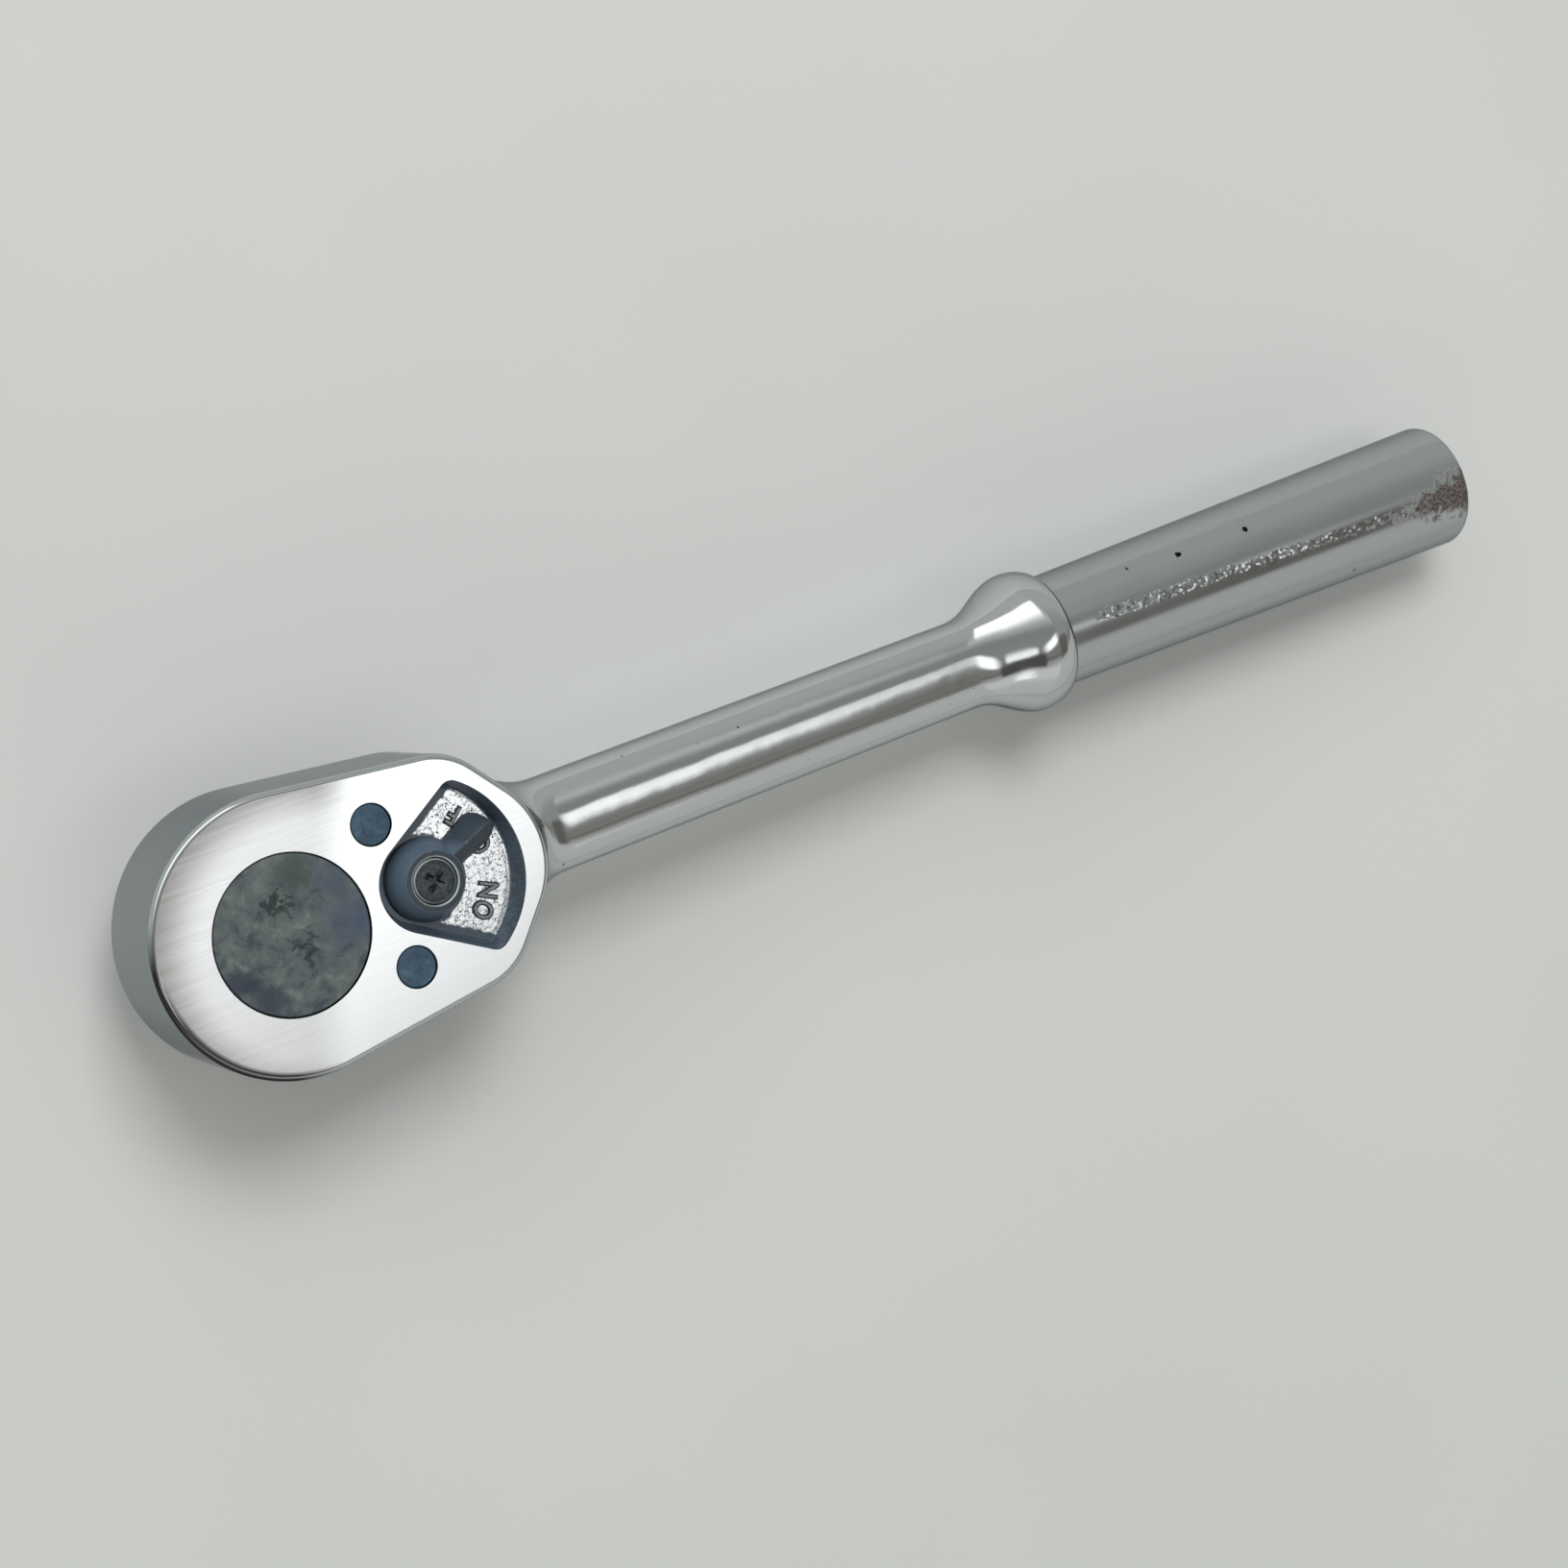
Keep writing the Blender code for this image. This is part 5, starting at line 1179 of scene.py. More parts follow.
@dataclass
class DriveAnvil:
    """Blued drive: the disc in the face, gear, journals and the square with its ball pocket."""

    square: float = 12.7
    square_round: float = 1.2
    end_round: float = 0.8
    front_radius: float = 9.98
    disc_radius: float = 12.46
    disc_top: float = 37.2
    disc_chamfer: float = 0.35
    gear_low: float = 20.4
    gear_high: float = 30.4
    teeth: int = 36
    root_radius: float = 14.2
    tip_radius: float = 15.6
    ball_height: float = 6.5

    def build(self) -> None:
        """Builds the drive and hands it over."""
        drive = turn_on_lathe("drive_anvil", self.journals())
        join(drive, self.gear(), Joining.ADD)
        join(drive, self.square_end(), Joining.ADD)
        pocket = turn_on_lathe("ball_pocket", [
            (0.0, -3.05), (2.7, -3.05), (2.7, 6.05), (2.38, 6.05), (2.38, 7.35), (0.0, 7.35)], 96)
        set_down(pocket, (0, 0, self.ball_height), (0, math.radians(90), 0))
        join(drive, pocket, Joining.CUT)
        paint(drive, DRIVE_STEEL)
        shade(drive)
        hand_over(drive, "drive", "drive_steel", "drive_gear")

    def journals(self) -> Profile:
        """Profile of both journals, with the disc's edge broken."""
        chamfer = self.disc_chamfer
        front, disc, top = self.front_radius, self.disc_radius, self.disc_top
        edge = [(disc - chamfer * (1 - math.cos(angle)), top - chamfer * (1 - math.sin(angle)))
                for angle in quarter(4)]
        return [(0.0, 15.7), (front - 0.3, 15.7), (front, 16.0), (front, 25.4), (disc, 25.4), *edge, (0.0, top)]

    def gear(self) -> bpy.types.Object:
        """Raises the ratchet teeth, each with rounded flanks."""
        steps = 10
        outline = []
        for step in range(self.teeth * steps):
            share = (step % steps) / steps
            flank = smooth_step((abs(share - 0.5) * 2 - 0.22) / 0.5)
            radius = self.tip_radius + (self.root_radius - self.tip_radius) * flank
            angle = 2 * math.pi * (step / steps - 0.5) / self.teeth
            outline.append((radius * math.cos(angle), radius * math.sin(angle)))
        return raise_rings("ratchet_gear", [
            [Vector((x, y, z)) for x, y in outline] for z in (self.gear_low, self.gear_high)])

    def square_end(self) -> bpy.types.Object:
        """Raises the square with round long edges and a round lead at its end."""
        corner = self.square / 2 - self.square_round
        circles = [(x, y, self.square_round) for x in (-corner, corner) for y in (-corner, corner)]
        rings = [band(circles, self.end_round * (1 - math.cos(angle)), -self.end_round * (1 - math.sin(angle)), 96)
                 for angle in quarter(6)]
        rings.append(band(circles, 17.0, 0.0, 96))
        return raise_rings("square_end", rings)


@dataclass
class SocketCatch:
    """Ball in the square's flat and the spring behind it."""

    radius: float = 2.4
    middle: tuple[float, float, float] = (4.85, 0.0, 6.5)

    def build(self) -> None:
        """Turns the ball, with the small flat that rubbing in sockets has worn on its crown."""
        wear = 0.06
        rise = [math.pi * k / 48 - math.pi / 2 for k in range(49)]
        profile = [(self.radius * math.cos(angle), min(self.radius * math.sin(angle), self.radius - wear))
                   for angle in rise]
        profile[0] = (0.0, -self.radius)
        profile[-1] = (0.0, self.radius - wear)
        ball = turn_on_lathe("socket_catch_ball", profile, 96)
        set_down(ball, self.middle, (0, math.radians(90), 0))
        paint(ball, BRIGHT_STEEL)
        shade(ball)
        hand_over(ball, "ball", "bright_steel", "socket_ball")


@dataclass
class CoilSpring:
    """Round wire spring wound between the ends of its CAD node, along X or Y."""

    node: str
    body: str
    wire: float
    turns: float
    along_y: bool = False
    joint: str = ""
    anchor_high: bool = False
    keep: float = 1.0

    def build(self) -> None:
        """Winds the spring with a screw modifier and lays it in its place."""
        low, high = (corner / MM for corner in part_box(self.node))
        axis = 1 if self.along_y else 0
        length = high[axis] - low[axis] - self.wire
        radius = (high.z - low.z - self.wire) / 2
        middle = (low + high) / 2
        middle[axis] = low[axis] + self.wire / 2
        clear_selection()
        bpy.ops.mesh.primitive_circle_add(vertices=16, radius=self.wire / 2 * MM, fill_type="NOTHING",
                                          location=(radius * MM, 0, 0), rotation=(math.radians(90), 0, 0))
        spring = new_piece(self.node.replace("spring", "coil"))
        bpy.ops.object.transform_apply(location=True, rotation=True, scale=True)
        bpy.ops.object.modifier_add(type="SCREW")
        screw = spring.modifiers[-1]
        screw.angle = 2 * math.pi * self.turns
        screw.screw_offset = length * MM
        screw.steps = screw.render_steps = int(40 * self.turns)
        screw.iterations = 1
        screw.use_merge_vertices = False
        bpy.ops.object.modifier_apply(modifier=screw.name)
        with edit(spring):
            bpy.ops.mesh.select_all(action="DESELECT")
            bpy.ops.mesh.select_non_manifold()
            bpy.ops.mesh.fill_holes(sides=16)
        turn = (math.radians(-90), 0, 0) if self.along_y else (0, math.radians(90), 0)
        set_down(spring, middle, turn)
        paint(spring, BRIGHT_STEEL)
        shade(spring)
        hand_over(spring, self.body, "bright_steel", self.node)
        if self.joint:
            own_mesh(spring)


@dataclass
class ReversingLever:
    """Black lever in the recess, with the screw that holds it."""

    base_radius: float = 6.6
    top_radius: float = 4.9
    top_round: float = 0.5
    seat_z: float = 35.8
    seat_radius: float = 3.72
    reach: float = 13.5
    # Across the finger at its root, at its widest and at its tip: left foot, right foot, left ridge, right ridge
    root: tuple[float, float, float, float] = (2.3, -2.3, 0.9, -1.2)
    widest: tuple[float, float, float, float] = (2.95, -2.65, 0.7, -1.2)
    tip: tuple[float, float, float, float] = (0.6, -1.7, 0.1, -0.9)
    tip_round: float = 2.6
    voxel: float = 0.13
    seat_lip: float = 0.32
    screw_radius: float = 3.55
    screw_flat: float = 2.7
    screw_low: float = 36.9
    screw_high: float = 38.2

    def build(self) -> None:
        """Builds the lever and its screw, and turns both to the rest place."""
        lever = turn_on_lathe("thumb_lever", self.hub(), 128)
        join(lever, self.finger(), Joining.ADD)
        self.soften(lever)
        seat = hole("screw_seat", self.seat_radius, self.seat_z, LEVER_TOP_Z, self.seat_lip)
        join(lever, seat, Joining.CUT)
        join(lever, hole("screw_way", 1.7, LEVER_BASE_Z - 1, LEVER_TOP_Z), Joining.CUT)
        socket = [band([(x, y, 0.7) for x in (-1.7, 1.7) for y in (-1.7, 1.7)], z, 0.0, 64)
                  for z in (LEVER_BASE_Z - 1, 34.9)]
        join(lever, raise_rings("spigot_socket", socket), Joining.CUT)
        set_down(lever, (LEVER_X, 0, 0), (0, 0, LEVER_REST))
        # Bright ring on the seat's lip: partly rubbed steel, partly a painted highlight
        self.rub_and_highlight(lever, LEVER_BLACK, self.seat_radius, self.seat_radius + self.seat_lip)
        shade(lever, 40.0)
        hand_over(lever, "lever", "black_oxide", "reversing_lever")
        self.screw()

    def hub(self) -> Profile:
        """Profile of the hub: a low cone with a round shoulder."""
        top = LEVER_TOP_Z
        crown = [(self.top_radius - self.top_round * (1 - math.cos(angle)),
                  top - self.top_round * (1 - math.sin(angle))) for angle in quarter(5)]
        return [(0.0, LEVER_BASE_Z), (self.base_radius, LEVER_BASE_Z), (self.base_radius, LEVER_BASE_Z + 0.6),
                *crown, (0.0, top)]

    def finger(self) -> bpy.types.Object:
        """Raises the thumb finger along X: it widens to a blunt tip, and its ridge lies off its middle."""
        straight = self.reach - self.tip_round
        stations = [(0.5, self.root, 0.0), (straight * 0.45, self.root, 0.0)]
        for angle in quarter(8):
            fall = 1 - math.cos(angle)
            across = tuple(wide + (end - wide) * fall for wide, end in zip(self.widest, self.tip))
            stations.append((straight + self.tip_round * math.sin(angle), across, fall))
        rings = []
        for x, (left, right, left_ridge, right_ridge), fall in stations:
            height = FACE_Z - 1.0 * fall
            corners = [(left - 0.3, LEVER_BASE_Z + 0.3, 0.3), (right + 0.3, LEVER_BASE_Z + 0.3, 0.3),
                       (right_ridge + 0.3, height - 0.6, 0.3), (left_ridge - 0.3, height - 0.3, 0.3)]
            rings.append([Vector((x, point.x, point.y)) for point in band(corners, 0.0, 0.0, 64)])
        return raise_rings("finger", rings)

    def soften(self, lever: bpy.types.Object) -> None:
        """Melts hub and finger into one casting with soft corners."""
        clear_selection()
        bpy.context.view_layer.objects.active = lever
        bpy.ops.object.modifier_add(type="REMESH")
        remesh = lever.modifiers[-1]
        remesh.mode = "VOXEL"
        remesh.voxel_size = self.voxel * MM
        bpy.ops.object.modifier_apply(modifier=remesh.name)
        bpy.ops.object.modifier_add(type="SMOOTH")
        smooth = lever.modifiers[-1]
        smooth.factor = 0.5
        smooth.iterations = 4
        bpy.ops.object.modifier_apply(modifier=smooth.name)

    def screw(self) -> None:
        """Turns the screw, with a bevelled head and a tapered cross recess."""
        high, low, radius, flat = self.screw_high, self.screw_low, self.screw_radius, self.screw_flat
        bevel = [(flat + (radius - flat) * math.sin(angle), high - 0.75 * (1 - math.cos(angle)))
                 for angle in quarter(8)]
        profile = [(0.0, 30.9), (1.4, 30.9), (1.4, low), (radius, low), *reversed(bevel), (0.0, high)]
        screw = turn_on_lathe("lever_cross_screw", profile, 128)
        rings = []
        for z, length, width in ((high - 1.0, 0.8, 0.25), (high, 1.95, 0.54), (high + 0.3, 2.29, 0.62)):
            arm = [(length, -width), (length, width), (width, width)]
            rings.append([Matrix.Rotation(math.radians(90 * turn), 3, "Z") @ Vector((x, y, z))
                          for turn in range(4) for x, y in arm])
        join(screw, raise_rings("cross", rings), Joining.CUT)
        set_down(screw, (LEVER_X, 0, 0), (0, 0, LEVER_REST + math.radians(18)))
        # Bright ring on the screw head's bevel: partly rubbed steel, partly a painted highlight
        self.rub_and_highlight(screw, SCREW_BLACK, self.screw_radius - 0.25, self.screw_radius)
        shade(screw)
        hand_over(screw, "lever", "black_oxide", "lever_screw")

    def rub_and_highlight(self, piece: bpy.types.Object, finish: Finish, inner: float, outer: float) -> None:
        """Blackens a piece, and paints a ring of its top bright: partly rubbed steel, partly a painted highlight.

        Args:
            piece: The lever or its screw.
            finish: The black finish.
            inner: Inner radius of the bright ring about the pivot.
            outer: Its outer radius.
        """
        paint(piece, finish)
        piece.data.materials.append(SCREW_RUB_AND_HIGHLIGHT.material())
        middle = Vector((LEVER_X, 0.0))
        for face in piece.data.polygons:
            away = (face.center.xy / MM - middle).length
            high = face.center.z / MM > LEVER_TOP_Z - 0.6
            face.material_index = int(high and inner < away < outer and 0.1 < face.normal.z < 0.97)


@dataclass
class PawlPins:
    """Blued pins that carry the pawls; their crowned heads show in the face."""

    head_radius: float = 3.2
    head_low: float = 31.0
    head_high: float = 37.2
    shaft_radius: float = 2.5
    edge: float = 0.3

    def build(self) -> None:
        """Turns each pin and sets it down on its side."""
        edge, head, high = self.edge, self.head_radius, self.head_high
        crown = [(head - edge * (1 - math.cos(angle)), high - 0.05 - edge * (1 - math.sin(angle)))
                 for angle in quarter(4)]
        shaft = self.shaft_radius
        profile = [(0.0, BACK_Z), (shaft - edge, BACK_Z), (shaft, BACK_Z + edge), (shaft, self.head_low),
                   (head, self.head_low), *crown, (1.4, high), (0.0, high)]
        for side in Side:
            name = side.name.lower()
            pin = turn_on_lathe(f"pin_{name}", profile, 96)
            set_down(pin, (PIN_X, side.value * PIN_Y, 0))
            paint(pin, PIN_STEEL)
            shade(pin)
            hand_over(pin, "handle", "pin_steel", f"pawl_pin_{name}")


@dataclass
class BackCover:
    """Ground plate that closes the head on the drive side, and its two screws."""

    edge: float = 0.4
    bore_radius: float = 10.28
    pin_hole_radius: float = 2.8
    screw_radius: float = 1.5
    screw_head: float = 2.9
    screw_sink: float = 1.7
    slot: float = 0.45
    slot_depth: float = 0.9

    def build(self) -> None:
        """Builds the plate and the screws."""
        rings = [band(COVER_EDGE, BACK_Z + self.edge * (1 - math.cos(angle)),
                      -SEAT_GAP - self.edge * (1 - math.sin(angle))) for angle in quarter(4)]
        rings.append(band(COVER_EDGE, COVER_TOP_Z, -SEAT_GAP))
        plate = raise_rings("ground_cover", rings)
        join(plate, hole("cover_bore", self.bore_radius, BACK_Z - 1, COVER_TOP_Z + 1), Joining.CUT)
        for side in Side:
            pin_hole = hole("cover_pin_hole", self.pin_hole_radius, BACK_Z - 1, COVER_TOP_Z + 1)
            join(plate, set_down(pin_hole, (PIN_X, side.value * PIN_Y, 0)), Joining.CUT)
            wide, narrow = self.screw_head + SEAT_GAP, self.screw_radius + SEAT_GAP
            sink = turn_on_lathe("countersink", [
                (0.0, BACK_Z - 1), (wide, BACK_Z - 1), (wide, BACK_Z), (narrow, BACK_Z + self.screw_sink),
                (narrow, COVER_TOP_Z + 1), (0.0, COVER_TOP_Z + 1)], 96)
            join(plate, set_down(sink, (COVER_SCREW_X, side.value * COVER_SCREW_Y, 0)), Joining.CUT)
            self.screw(side)
        paint(plate, COVER_CHROME)
        shade(plate)
        hand_over(plate, "handle", "chrome_cover", "cover_plate")

    def screw(self, side: Side) -> None:
        """Turns one countersunk screw and saws its slot."""
        name = side.name.lower()
        screw = turn_on_lathe(f"countersunk_screw_{name}", [
            (0.0, BACK_Z), (self.screw_head - 0.1, BACK_Z), (self.screw_head, BACK_Z + 0.1),
            (self.screw_radius, BACK_Z + self.screw_sink), (self.screw_radius, BACK_Z + 9.2),
            (self.screw_radius - 0.3, BACK_Z + 9.5), (0.0, BACK_Z + 9.5)], 96)
        corners = [(-4.0, -self.slot), (4.0, -self.slot), (4.0, self.slot), (-4.0, self.slot)]
        rings = [[Vector((x, y, z)) for x, y in corners] for z in (BACK_Z - 1, BACK_Z + self.slot_depth)]
        join(screw, raise_rings("saw_slot", rings), Joining.CUT)
        turn = math.radians(25 * side.value)
        set_down(screw, (COVER_SCREW_X, side.value * COVER_SCREW_Y, 0), (0, 0, turn))
        paint(screw, SCREW_BLACK)
        shade(screw)
        hand_over(screw, "handle", "black_oxide", f"cover_screw_{name}")


@dataclass
class RecessLettering:
    """Plain ON and OFF cast on the floor of the recess, with their tops towards the pivot."""

    radius: float = 12.0
    size: float = 4.5
    narrow: float = 0.78
    height: float = 0.36
    bevel: float = 0.30
    places: tuple[tuple[str, float], ...] = (("O", -41.6), ("N", -26.0), ("O", 10.4), ("F", 26.0), ("F", 41.6))

    def build(self) -> None:
        """Sets each letter as a mesh and joins them into one piece."""
        letters = [self.letter(text, math.radians(angle)) for text, angle in self.places]
        clear_selection()
        for letter in letters:
            letter.select_set(True)
        bpy.context.view_layer.objects.active = letters[0]
        bpy.ops.object.join()
        lettering = letters[0]
        lettering.name = "recess_lettering"
        finishes = (LETTER_ENAMEL_AND_SHADE, LETTER_TOP)
        lettering.data.materials.clear()
        for finish in finishes:
            lettering.data.materials.append(finish.material())
        # Sides of the letters are black, partly enamel and partly painted shade along their edges; the flat tops are
        # plate
        for face in lettering.data.polygons:
            face.material_index = 1 if face.normal.z > 0.95 else 0
        shade(lettering, 20.0)
        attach(lettering, "handle")
        LOG.info("%s rides on handle, %d faces", lettering.name, len(lettering.data.polygons))

    def letter(self, text: str, angle: float) -> bpy.types.Object:
        """Makes one letter a mesh on the floor.

        Args:
            text: The letter.
            angle: Its place round the pivot.

        Returns:
            The letter as a mesh in its place.
        """
        clear_selection()
        bpy.ops.object.text_add()
        letter = bpy.context.object
        letter.data.body = text
        letter.data.align_x = "CENTER"
        letter.data.align_y = "CENTER"
        letter.data.size = self.size * MM
        letter.data.extrude = 0.05 * MM
        letter.data.bevel_depth = self.bevel * MM
        letter.data.bevel_resolution = 1
        bpy.ops.object.convert(target="MESH")
        letter = bpy.context.object
        letter.scale.x = self.narrow
        place = (RECESS_X + self.radius * math.cos(angle), self.radius * math.sin(angle),
                 RECESS_FLOOR_Z + self.height - self.bevel - 0.05)
        return set_down(letter, place, (0, 0, angle + math.radians(90)))


@dataclass
class HiddenWorks:
    """CAD pieces inside the head whose shapes are right, and which only need their finish."""

    def build(self) -> None:
        """Dresses each carried CAD node."""
        finishes = {
            "pawl_on": PAWL_STEEL, "pawl_off": PAWL_STEEL, "reversing_cam": PAWL_STEEL,
            "thrust_washer": BRIGHT_STEEL, "lever_washer": BRIGHT_STEEL, "detent_plunger": BRIGHT_STEEL,
        }
        for node, finish in finishes.items():
            item = frame["nodes"][node]
            for slot in item.material_slots:
                slot.material = finish.material()
            LOG.info("%s keeps its shape and takes %s", node, finish.name)


def facing(way: Vector) -> Matrix:
    """Rotation whose Z looks along a way, with X kept level along the tool."""
    level = (Vector((1.0, 0.0, 0.0)) - way.x * way).normalized()
    return Matrix((level, way.cross(level), way)).transposed().to_4x4()


@dataclass
class KeyLamp:
    """Soft lamp that lays the tool's shadow on the board; the room gives the mirror images."""

    towards: tuple[float, float, float] = (-0.08, 0.50, 0.86)
    distance: float = 1.5
    size: float = 0.5
    radiance: float = 14.0

    def build(self, target: Vector) -> None:
        """Adds the lamp so that it looks at the target."""
        way = Vector(self.towards).normalized()
        bpy.ops.object.light_add(type="AREA")
        lamp = bpy.context.object
        lamp.name = "key_lamp"
        lamp.matrix_world = facing(way)
        lamp.location = target + way * self.distance
        lamp.visible_glossy = False
        lamp.data.shape = "SQUARE"
        lamp.data.size = self.size
        lamp.data.energy = self.radiance * math.pi * self.size ** 2


@dataclass(frozen=True)
class RoomPatch:
    """Bright or dark patch of the room, laid on a level plane one unit above the tool."""

    middle: tuple[float, float]
    half: tuple[float, float]
    edge: tuple[float, float]
    tone: str
    gain: float = 1.0
    roll: float = 0.0

    def lay(self, tree: bpy.types.NodeTree, plane: bpy.types.NodeSocket, under: bpy.types.NodeSocket
            ) -> bpy.types.NodeSocket:
        """Lays the patch over the room.

        Args:
            tree: The world's node tree.
            plane: Where a direction meets the plane.
            under: The room's light so far.

        Returns:
            The room's light with the patch in it.
        """
        own = add_node(tree, "ShaderNodeMapping", {
            "Vector": plane, "Location": (*self.middle, 0.0), "Rotation": (0.0, 0.0, math.radians(self.roll))},
            vector_type="TEXTURE")
        away = add_node(tree, "ShaderNodeVectorMath", {0: own.outputs["Vector"]}, operation="ABSOLUTE")
        core = [half - edge for half, edge in zip(self.half, self.edge)]
        past = add_node(tree, "ShaderNodeVectorMath", {0: away.outputs["Vector"], 1: (*core, 1e6)},
                        operation="SUBTRACT")
        soft = add_node(tree, "ShaderNodeVectorMath", {
            0: past.outputs["Vector"], 1: (2 * self.edge[0], 2 * self.edge[1], 1.0)}, operation="DIVIDE")
        outside = add_node(tree, "ShaderNodeVectorMath", {0: soft.outputs["Vector"]}, operation="MAXIMUM")
        reach = add_node(tree, "ShaderNodeVectorMath", {0: outside.outputs["Vector"]}, operation="LENGTH")
        share = add_node(tree, "ShaderNodeMapRange", {
            "Value": reach.outputs["Value"], "From Min": 1.0, "From Max": 0.0},
            interpolation_type="SMOOTHSTEP")
        red, green, blue, alpha = linear(self.tone)
        light = (red * self.gain, green * self.gain, blue * self.gain, alpha)
        mixed = add_node(tree, "ShaderNodeMix", {
            MIX_SHARE: share.outputs["Result"], MIX_FIRST: under, MIX_SECOND: light}, data_type="RGBA")
        return mixed.outputs[MIX_COLOUR]


@dataclass
class Studio:
    """Pale board, the room that the chrome mirrors, one soft lamp and the camera."""

    rest_front: tuple[float, float] = (6.35, 0.0)
    rest_back: tuple[float, float] = (232.0, 15.65)
    board: float = 6000.0
    camera_place: tuple[float, float, float] = (-147.13, 88.90, 535.87)
    camera_aim: tuple[float, float, float] = (85.51, -5.87, 37.3)
    camera_right: tuple[float, float, float] = (0.8464, -0.2859, 0.4493)
    focal_pixels: float = 3600.0
    frame_pixels: float = 1632.0
    room_strength: float = 0.9
    # Tones of the room round the tool, by the angle about its length from -Y over the top to +Y
    room: tuple[tuple[float, str], ...] = (
        (-90, "#D4D5D3"), (-66, "#DBDCDA"), (-58, "#EDEDEB"), (-46, "#EEEDEB"), (-40, "#CBC9C7"), (-34, "#AFADAA"),
        (-30, "#7E7B79"), (-25, "#989592"), (-19, "#92908D"), (-12, "#A6A5A3"), (9, "#9DA09F"), (16, "#A2A6A5"),
        (24, "#C6CBC9"), (31, "#DADDDB"), (40, "#CCCFCD"), (90, "#CCCECC"))
    # The same beyond the grip, where the room is darker
    far_room: tuple[tuple[float, str], ...] = (
        (-90, "#D2D4D2"), (-50, "#D6D7D5"), (-37, "#CDCDCB"), (-30, "#B4B3B1"), (-20, "#959391"), (-12, "#969593"),
        (-3, "#A9AAA9"), (20, "#AAADAC"), (31, "#B0B3B2"), (40, "#BABDBC"), (55, "#C6C9C7"), (90, "#C8CAC9"))
    # Window, ceiling light, a smaller light, a bright wall, the camera and a dark wall beyond the grip
    patches: tuple[RoomPatch, ...] = (
        RoomPatch((-0.66, 1.50), (0.97, 0.76), (0.12, 0.24), "#FFFFFF", 1.95),
        RoomPatch((0.08, -0.16), (0.44, 0.105), (0.24, 0.05), "#FFFFFF", 1.95, 14.0),
        RoomPatch((-0.86, -0.27), (0.20, 0.09), (0.08, 0.06), "#FFFFFF", 1.6),
        RoomPatch((-1.25, -1.25), (0.32, 0.30), (0.14, 0.14), "#FFFFFF", 1.7),
        RoomPatch((-0.70, -0.60), (0.32, 0.22), (0.10, 0.09), "#5E5A5E"),
        RoomPatch((1.00, -0.42), (0.40, 0.36), (0.10, 0.09), "#77746F"),
    )

    def build(self) -> None:
        """Sets up the board, the light and the camera."""
        self.floor()
        self.sky()
        KeyLamp().build(Vector((100.0, 0.0, 25.0)) * MM)
        self.camera()
        bpy.context.scene.view_settings.view_transform = "Standard"

    def floor(self) -> None:
        """Lays the board under the square's end and the grip, where the tool would rest."""
        (front_x, front_z), (back_x, back_z) = self.rest_front, self.rest_back
        clear_selection()
        bpy.ops.mesh.primitive_plane_add(size=self.board * MM)
        board = new_piece("pale_board")
        pitch = math.atan2(back_z - front_z, back_x - front_x)
        set_down(board, (front_x, 0, front_z - 0.05), (0, -pitch, 0))
        paint(board, PALE_BOARD)

    def sky(self) -> None:
        """Gives the room its tones and patches, by the direction from the tool."""
        world = bpy.data.worlds.new("studio_room")
        bpy.context.scene.world = world
        world.use_nodes = True
        tree = world.node_tree
        coords = add_node(tree, "ShaderNodeTexCoord")
        parts = add_node(tree, "ShaderNodeSeparateXYZ", {0: coords.outputs["Generated"]})
        angle = add_node(tree, "ShaderNodeMath", {0: parts.outputs["Y"], 1: parts.outputs["Z"]},
                         operation="ARCTAN2")
        turn = add_node(tree, "ShaderNodeMapRange", {
            "Value": angle.outputs[0], "From Min": -math.pi / 2, "From Max": math.pi / 2})
        near, far = (add_node(tree, "ShaderNodeValToRGB", {0: turn.outputs["Result"]}, stops=[
            ((degrees + 90) / 180, tone) for degrees, tone in tones]) for tones in (self.room, self.far_room))
        height = add_node(tree, "ShaderNodeMath", {0: parts.outputs["Z"], 1: 0.02}, operation="MAXIMUM")
        stretch = add_node(tree, "ShaderNodeMath", {0: 1.0, 1: height.outputs[0]}, operation="DIVIDE")
        plane = add_node(tree, "ShaderNodeVectorMath", {
            0: coords.outputs["Generated"], "Scale": stretch.outputs[0]}, operation="SCALE")
        along = add_node(tree, "ShaderNodeSeparateXYZ", {0: plane.outputs["Vector"]})
        share = add_node(tree, "ShaderNodeMapRange", {
            "Value": along.outputs["X"], "From Min": 0.54, "From Max": 0.66}, interpolation_type="SMOOTHSTEP")
        mixed = add_node(tree, "ShaderNodeMix", {
            MIX_SHARE: share.outputs["Result"], MIX_FIRST: near.outputs["Color"],
            MIX_SECOND: far.outputs["Color"]}, data_type="RGBA")
        light = mixed.outputs[MIX_COLOUR]
        for patch in self.patches:
            light = patch.lay(tree, plane.outputs["Vector"], light)
        tree.links.new(light, tree.nodes["Background"].inputs["Color"])
        tree.nodes["Background"].inputs["Strength"].default_value = self.room_strength

    def camera(self) -> None:
        """Stands the camera where the photograph was taken from."""
        place = Vector(self.camera_place) * MM
        back = (place - Vector(self.camera_aim) * MM).normalized()
        up = back.cross(Vector(self.camera_right)).normalized()
        right = up.cross(back)
        bpy.ops.object.camera_add()
        camera = bpy.context.object
        camera.name = "photo_camera"
        camera.matrix_world = Matrix((right, up, back)).transposed().to_4x4()
        camera.location = place
        camera.data.sensor_width = 36.0
        camera.data.lens = camera.data.sensor_width * self.focal_pixels / self.frame_pixels
        camera.data.clip_start = 0.01
        bpy.context.scene.camera = camera


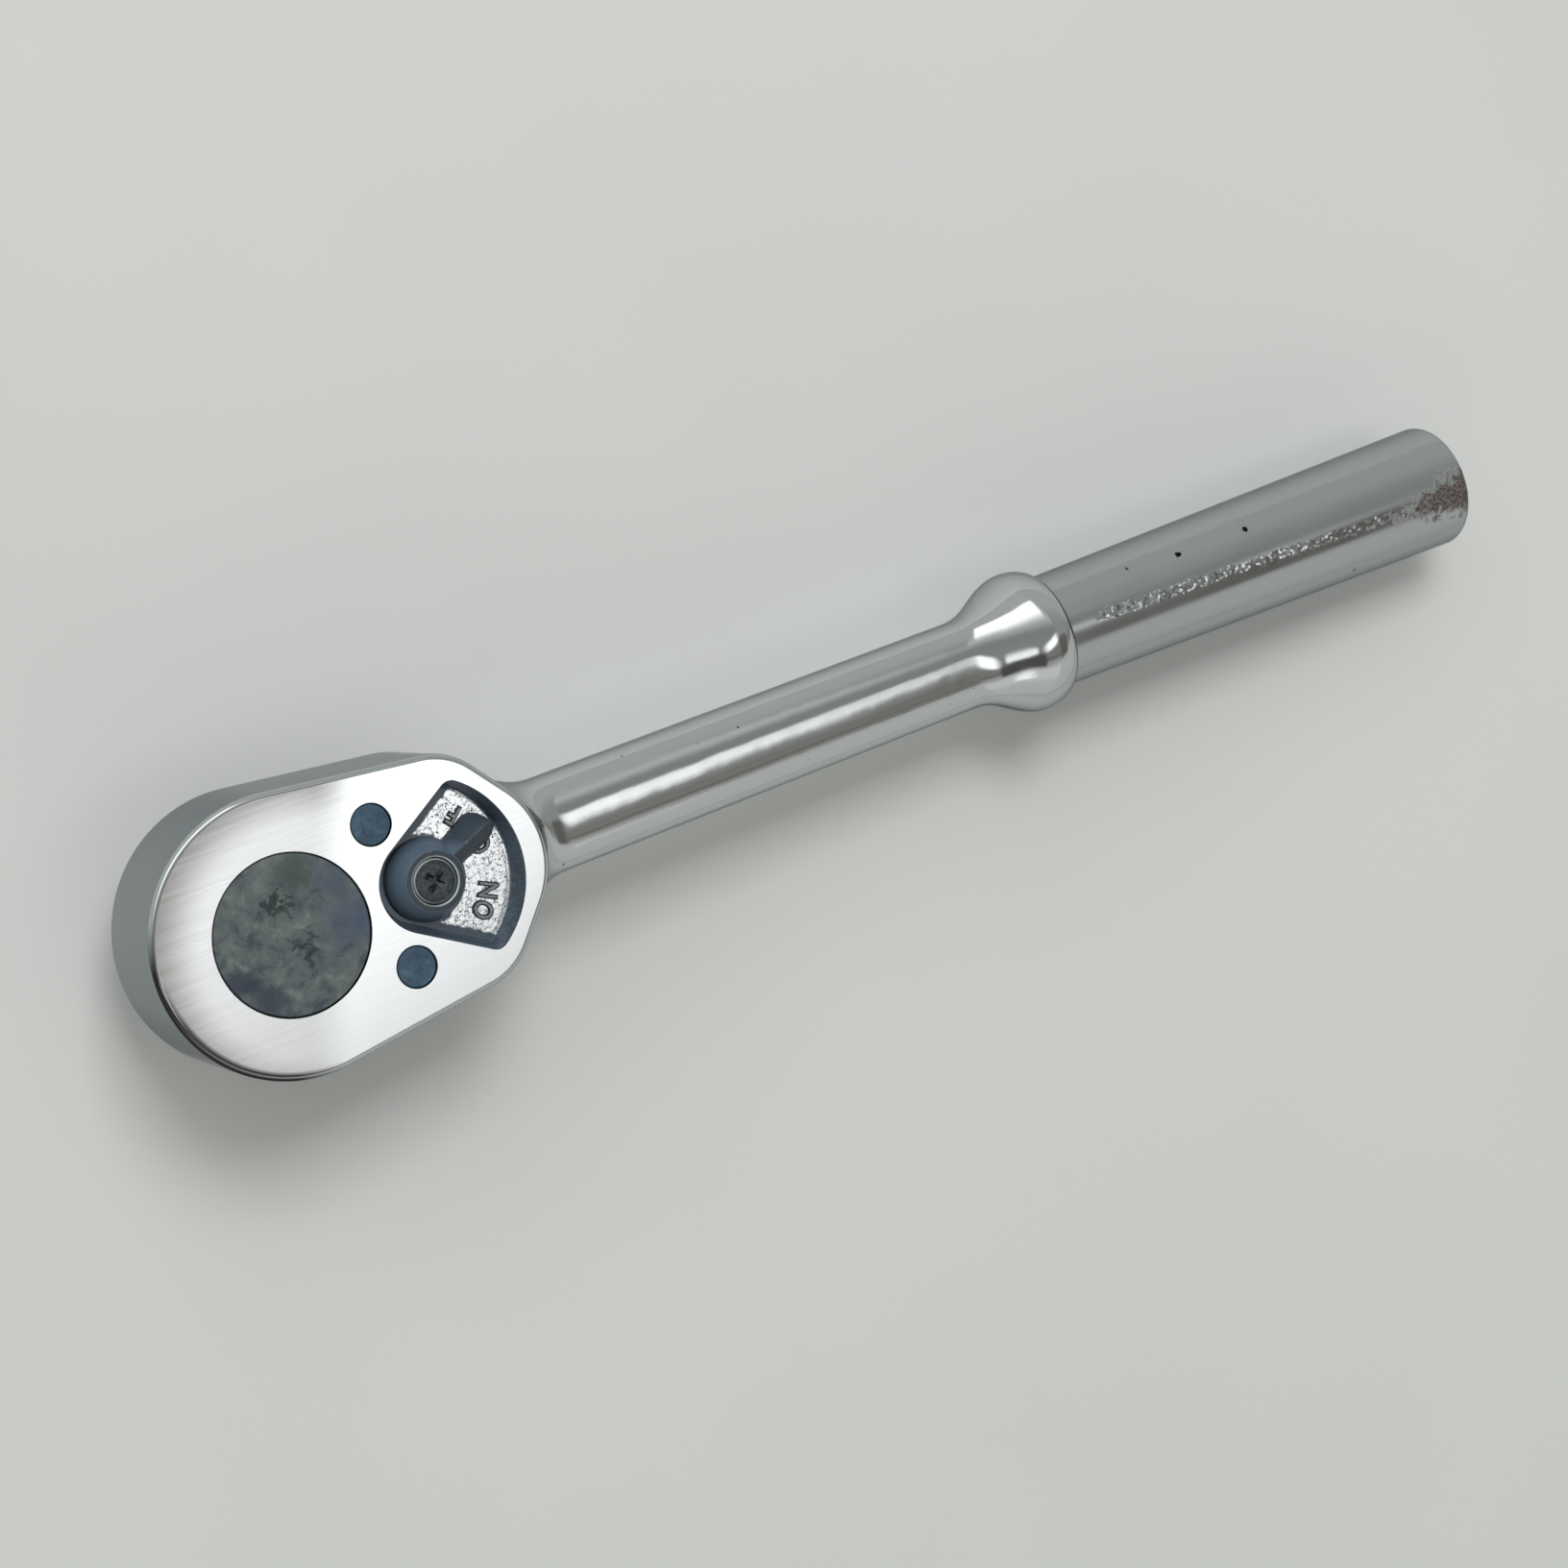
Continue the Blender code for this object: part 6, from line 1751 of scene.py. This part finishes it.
def main() -> None:
    """Builds every sub-assembly and the studio."""
    logging.basicConfig(level=logging.INFO, format="%(name)s: %(message)s")
    Forging().build()
    DriveAnvil().build()
    SocketCatch().build()
    ReversingLever().build()
    PawlPins().build()
    BackCover().build()
    RecessLettering().build()
    springs = (
        CoilSpring("pawl_spring_on", "handle", 0.4, 2.5, along_y=True, joint="on_pawl_rock", keep=0.64),
        CoilSpring("pawl_spring_off", "handle", 0.4, 2.5, along_y=True),
        CoilSpring("detent_spring", "handle", 0.35, 5.0, joint="plunger_slide", anchor_high=True, keep=0.81),
        CoilSpring("socket_spring", "drive", 0.45, 4.0, joint="ball_press", keep=0.81),
    )
    for spring in springs:
        spring.build()
    HiddenWorks().build()
    Studio().build()


if __name__ == "__main__":
    main()
